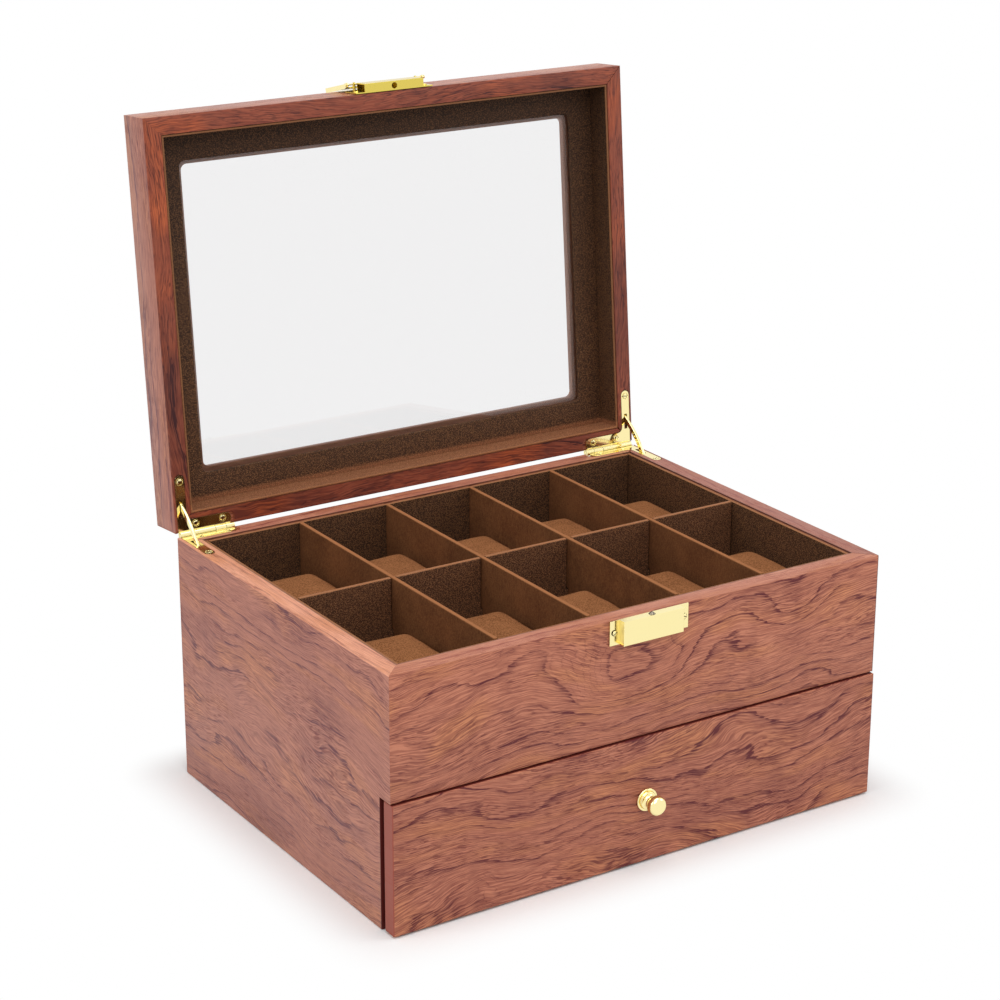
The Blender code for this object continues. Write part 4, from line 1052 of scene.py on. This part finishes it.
class WATCHBOX_OT_pillows(bpy.types.Operator):
    """Stuffs one pillow and sets a copy in every compartment"""

    bl_idname = "watchbox.pillows"
    bl_label = "Pillows"

    def execute(self, context):
        cloth = suede("pillow_suede", "pillow_pale", "pillow_deep", 0.9)
        low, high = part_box("watch_pillow_01")
        pattern = self.stuffed(low, high)
        home = (low + high) / 2
        folds = bpy.data.textures.new("pillow_folds", "CLOUDS")
        folds.noise_scale = 0.018
        folds.noise_depth = 1
        for number in range(1, 11):
            body = f"pillow_{number:02d}"
            node = "watch_" + body
            box_low, box_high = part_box(node)
            pick(pattern)
            bpy.ops.object.duplicate()
            piece = context.object
            settle(piece, Matrix.Translation((box_low + box_high) / 2 - home))
            apply_modifier(
                piece, "DISPLACE",
                texture=folds, texture_coords="GLOBAL", strength=0.0008, mid_level=0.5,
            )
            for vert in piece.data.vertices:
                vert.co.z = max(vert.co.z, box_low.z)
            smooth(piece, 180)
            seat(piece, body + "_suede", body, cloth, node)
        bpy.data.objects.remove(pattern)
        return {"FINISHED"}

    def stuffed(self, low, high):
        """A block with rounded edges, swollen by pressure inside its cover."""
        size = sizes()
        shrink = Vector((size.pillow_start,) * 3)
        piece = added(bpy.ops.mesh.primitive_cube_add, size=1, location=(low + high) / 2)
        piece.scale = high - low - 2 * shrink
        settle(piece)
        apply_modifier(piece, "BEVEL", width=size.pillow_corner, segments=4)
        apply_modifier(
            piece, "REMESH", mode="VOXEL", voxel_size=size.pillow_voxel, use_smooth_shade=True
        )
        start = [vert.co.copy() for vert in piece.data.vertices]
        self.inflate(piece)
        for vert, before in zip(piece.data.vertices, start):
            move = vert.co - before
            if move.length > size.pillow_swell:
                vert.co = before + move * (size.pillow_swell / move.length)
            vert.co.z = max(vert.co.z, low.z)
        apply_modifier(piece, "SMOOTH", factor=0.5, iterations=3)
        apply_modifier(piece, "SUBSURF", levels=1, render_levels=1)
        return piece

    def inflate(self, piece):
        """Lets pressure inside the cloth swell it for some frames, and keeps the last shape."""
        last_frame = 20
        scene = bpy.context.scene
        pick(piece)
        cloth = piece.modifiers.new("Stuffing", "CLOTH")
        settings = cloth.settings
        settings.quality = 6
        settings.mass = 0.2
        settings.tension_stiffness = 18
        settings.compression_stiffness = 18
        settings.shear_stiffness = 8
        settings.bending_stiffness = 1.2
        settings.use_pressure = True
        settings.uniform_pressure_force = 4
        settings.effector_weights.gravity = 0
        cloth.collision_settings.use_collision = False
        cloth.point_cache.frame_start = 1
        cloth.point_cache.frame_end = last_frame
        for number in range(1, last_frame + 1):
            scene.frame_set(number)
        pick(piece)
        bpy.ops.object.modifier_apply(modifier=cloth.name)
        scene.frame_set(1)


class WATCHBOX_OT_glass(bpy.types.Operator):
    """Finishes the lid's pane"""

    bl_idname = "watchbox.glass"
    bl_label = "Glass"

    def execute(self, context):
        softened("glass_pane", "lid", clear_glass(), sizes().glass_edge, 1)
        return {"FINISHED"}


class WATCHBOX_OT_hinges(bpy.types.Operator):
    """Polishes the hinge leaves, pins and stays, and gives the screws their heads"""

    bl_idname = "watchbox.hinges"
    bl_label = "Hinges"

    def execute(self, context):
        brass = metal("hinge_brass", "brass", 0.07)
        shade = metal("hinge_brass_shade", "brass_shade", 0.35)
        for side, sign in (("left", -1), ("right", 1)):
            for body in ("case", "lid"):
                self.add_leaf(f"{side}_{body}_hinge_leaf", sign, body, brass, shade)
            softened(f"{side}_lid_stay", f"{side}_stay", brass, sizes().stay_edge, 2, 40)
            dress(brass, f"{side}_hinge_pin")
        return {"FINISHED"}

    def add_leaf(self, node, sign, body, brass, shade):
        """A leaf with the domed, slotted heads of its three screws."""
        size = sizes()
        leaf = softened(node, body, brass, size.brass_edge, 1, 40)
        parts = []
        turns = (20, 75, -40) if body == "case" else (-25, 50, 100)
        for (inset, setback), turn in zip(HINGE_SCREWS, turns):
            head = slotted_head(
                size.head_radius, size.head_rise, size.slot_width, 0.0003, turn + sign * 15,
                brass, shade,
            )
            spot = Vector((sign * (half_width - inset), half_depth - setback, case_top))
            if body == "case":
                settle(head, Matrix.Translation(spot))
            else:
                spot.z = rim_low
                over = Matrix.Rotation(math.pi, 4, "X")
                settle(head, LID_OPENED @ Matrix.Translation(spot) @ over)
            parts.append(head)
        joined(parts + [leaf])


class WATCHBOX_OT_catch(bpy.types.Operator):
    """Polishes the catch's plates and flap, and makes its ball and screws"""

    bl_idname = "watchbox.catch"
    bl_label = "Catch"

    def execute(self, context):
        brass = metal("catch_brass", "brass", 0.12)
        shade = metal("catch_brass_shade", "brass_shade", 0.35)
        steel = metal("bright_steel", "steel", 0.2)
        edge = sizes().brass_edge
        self.add_plate("case", brass, shade)
        # The lid's catch plate takes the darker brass, painted shade
        self.add_plate("lid", metal("lid_catch_brass", "brass_in_shade", 0.16), shade)
        softened("catch_flap", "flap", brass, edge, 2, 40)
        dress(brass, "catch_flap_pin")
        dress(steel, "catch_spring", "knob_screw")
        self.add_ball(steel)
        self.add_screws(brass, shade)
        return {"FINISHED"}

    def add_plate(self, body, brass, shade):
        """A catch plate whose block is closed at both ends and painted with shade inside."""
        node = f"{body}_catch_plate"
        back = LID_OPENED.inverted() if body == "lid" else Matrix.Identity(4)
        points = [back @ vert.co for vert in nodes[node].data.vertices]
        front = min(point.y for point in points)
        # The block's front face gives its half width, and its height inside the sheet
        raised = [point for point in points if point.y < front + 0.0001]
        half = max(abs(point.x) for point in raised)
        low = min(point.z for point in raised) + 0.0002
        high = max(point.z for point in raised) - 0.0002
        plate = softened(node, body, brass, sizes().brass_edge, 2, 40)
        caps = []
        dull = metal(f"{body}_catch_ends", "brass", 0.5)
        for sign in (-1, 1):
            # A cap just inside the block's end
            ends = sorted((sign * (half - 0.0007), sign * (half - 0.0001)))
            cap = block((ends[0], front + 0.0003, low), (ends[1], -half_depth - 0.0005, high))
            apply_modifier(cap, "BEVEL", width=0.0002, segments=2)
            settle(cap, back.inverted())
            smooth(cap, 40)
            paint(cap, dull)
            caps.append(cap)
        # A sheet of painted shade at the block's back, and painted shade on the block's inner faces
        inset = half - 0.001
        shade_sheet = block((-inset, -half_depth - 0.0009, low), (inset, -half_depth - 0.0008, high))
        settle(shade_sheet, back.inverted())
        paint(shade_sheet, shade)
        caps.append(shade_sheet)
        plate.data.materials.append(shade)
        for face in plate.data.polygons:
            middle = back @ face.center
            inside = abs(middle.x) < half - 0.0008 and low + 0.0001 < middle.z < high - 0.0001
            if inside and front + 0.0002 < middle.y < -half_depth - 0.0012:
                face.material_index = 1
        joined(caps + [plate])

    def add_ball(self, steel):
        low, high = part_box("catch_ball")
        ball = added(
            bpy.ops.mesh.primitive_ico_sphere_add,
            subdivisions=5, radius=(high.x - low.x) / 2, location=(low + high) / 2,
        )
        settle(ball)
        smooth(ball, 180)
        seat(ball, "catch_ball_polished", "ball", steel, "catch_ball")

    def add_screws(self, brass, shade):
        for number, turn in ((1, 35), (2, -20)):
            node = f"case_catch_screw_{number}"
            low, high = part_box(node)
            radius = (high.x - low.x) / 2
            middle = (low + high) / 2
            head = slotted_head(radius / HEAD_RIM, 0.00038, 0.0004, 0.0002, turn, brass, shade)
            lean = Matrix.Rotation(math.pi / 2, 4, "X")
            settle(head, Matrix.Translation((middle.x, low.y + 0.0004, middle.z)) @ lean)
            long = high.y - low.y
            profile = [(0.0006, 0), (0.0006, long - 0.0016), (0.00005, long - 0.0008)]
            shank = turned(profile, 16, (middle.x, low.y + 0.0006, middle.z), (0, 1, 0))
            paint(shank, brass)
            piece = joined([shank, head])
            seat(piece, node + "_slotted", "case", None, node)


class WATCHBOX_OT_knob(bpy.types.Operator):
    """Turns the drawer's knob"""

    bl_idname = "watchbox.knob"
    bl_label = "Knob"

    def execute(self, context):
        low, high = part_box("drawer_knob")
        flange = (high.x - low.x) / 2
        centre = (low + high) / 2
        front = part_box("drawer_front")[0].y
        tall = front - low.y
        profile = [(flange * 0.96, 0.0003), (flange, 0.0006)]
        profile += bow((flange - 0.0005, 0.0009), 0.0005, 0, 90, 4)
        profile += [(flange * 0.80, 0.00145), (flange * 0.74, 0.0013), (flange * 0.70, 0.0016)]
        profile += bow((0.0040, 0.0021), 0.0005, -20, 90, 4)
        profile += [(0.0033, 0.0028), (0.0027, 0.0036), (0.0025, 0.0044), (0.0027, 0.0052)]
        profile += [(0.0031, 0.0057)]
        head = 0.0049
        profile += bow((head - 0.0023, 0.0082), 0.0023, -75, 0, 7)
        profile += bow((head - 0.0026, tall - 0.0026), 0.0026, 0, 82, 9)
        profile += [(0.0012, tall - 0.00003), (0.0002, tall)]
        knob = turned(profile, 64, (centre.x, front, centre.z), (0, -1, 0))
        brass = metal("knob_brass", "brass", 0.1)
        seat(knob, "drawer_knob_turned", "drawer", brass, "drawer_knob")
        return {"FINISHED"}


STEPS = (
    WATCHBOX_OT_stage,
    WATCHBOX_OT_case_wood,
    WATCHBOX_OT_lid_wood,
    WATCHBOX_OT_drawer,
    WATCHBOX_OT_linings,
    WATCHBOX_OT_dividers,
    WATCHBOX_OT_pillows,
    WATCHBOX_OT_glass,
    WATCHBOX_OT_hinges,
    WATCHBOX_OT_catch,
    WATCHBOX_OT_knob,
)


class WATCHBOX_PT_panel(bpy.types.Panel):
    """Lists the box's sizes, colours and steps"""

    bl_idname = "WATCHBOX_PT_panel"
    bl_label = "Watch Box"
    bl_space_type = "VIEW_3D"
    bl_region_type = "UI"
    bl_category = "Watch Box"

    def draw(self, context):
        for group in (context.scene.watch_box_sizes, context.scene.watch_box_colours):
            box = self.layout.box()
            for name in group.__annotations__:
                box.prop(group, name)
        for step in STEPS:
            self.layout.operator(step.bl_idname)


CLASSES = (WatchBoxSizes, WatchBoxColours, *STEPS, WATCHBOX_PT_panel)


def register():
    for item in CLASSES:
        bpy.utils.register_class(item)
    bpy.types.Scene.watch_box_sizes = PointerProperty(type=WatchBoxSizes)
    bpy.types.Scene.watch_box_colours = PointerProperty(type=WatchBoxColours)


def unregister():
    del bpy.types.Scene.watch_box_colours
    del bpy.types.Scene.watch_box_sizes
    for item in reversed(CLASSES):
        bpy.utils.unregister_class(item)


def main():
    register()
    bpy.ops.watchbox.stage()
    bpy.ops.watchbox.case_wood()
    bpy.ops.watchbox.lid_wood()
    bpy.ops.watchbox.drawer()
    bpy.ops.watchbox.linings()
    bpy.ops.watchbox.dividers()
    bpy.ops.watchbox.pillows()
    bpy.ops.watchbox.glass()
    bpy.ops.watchbox.hinges()
    bpy.ops.watchbox.catch()
    bpy.ops.watchbox.knob()


if __name__ == "__main__":
    main()
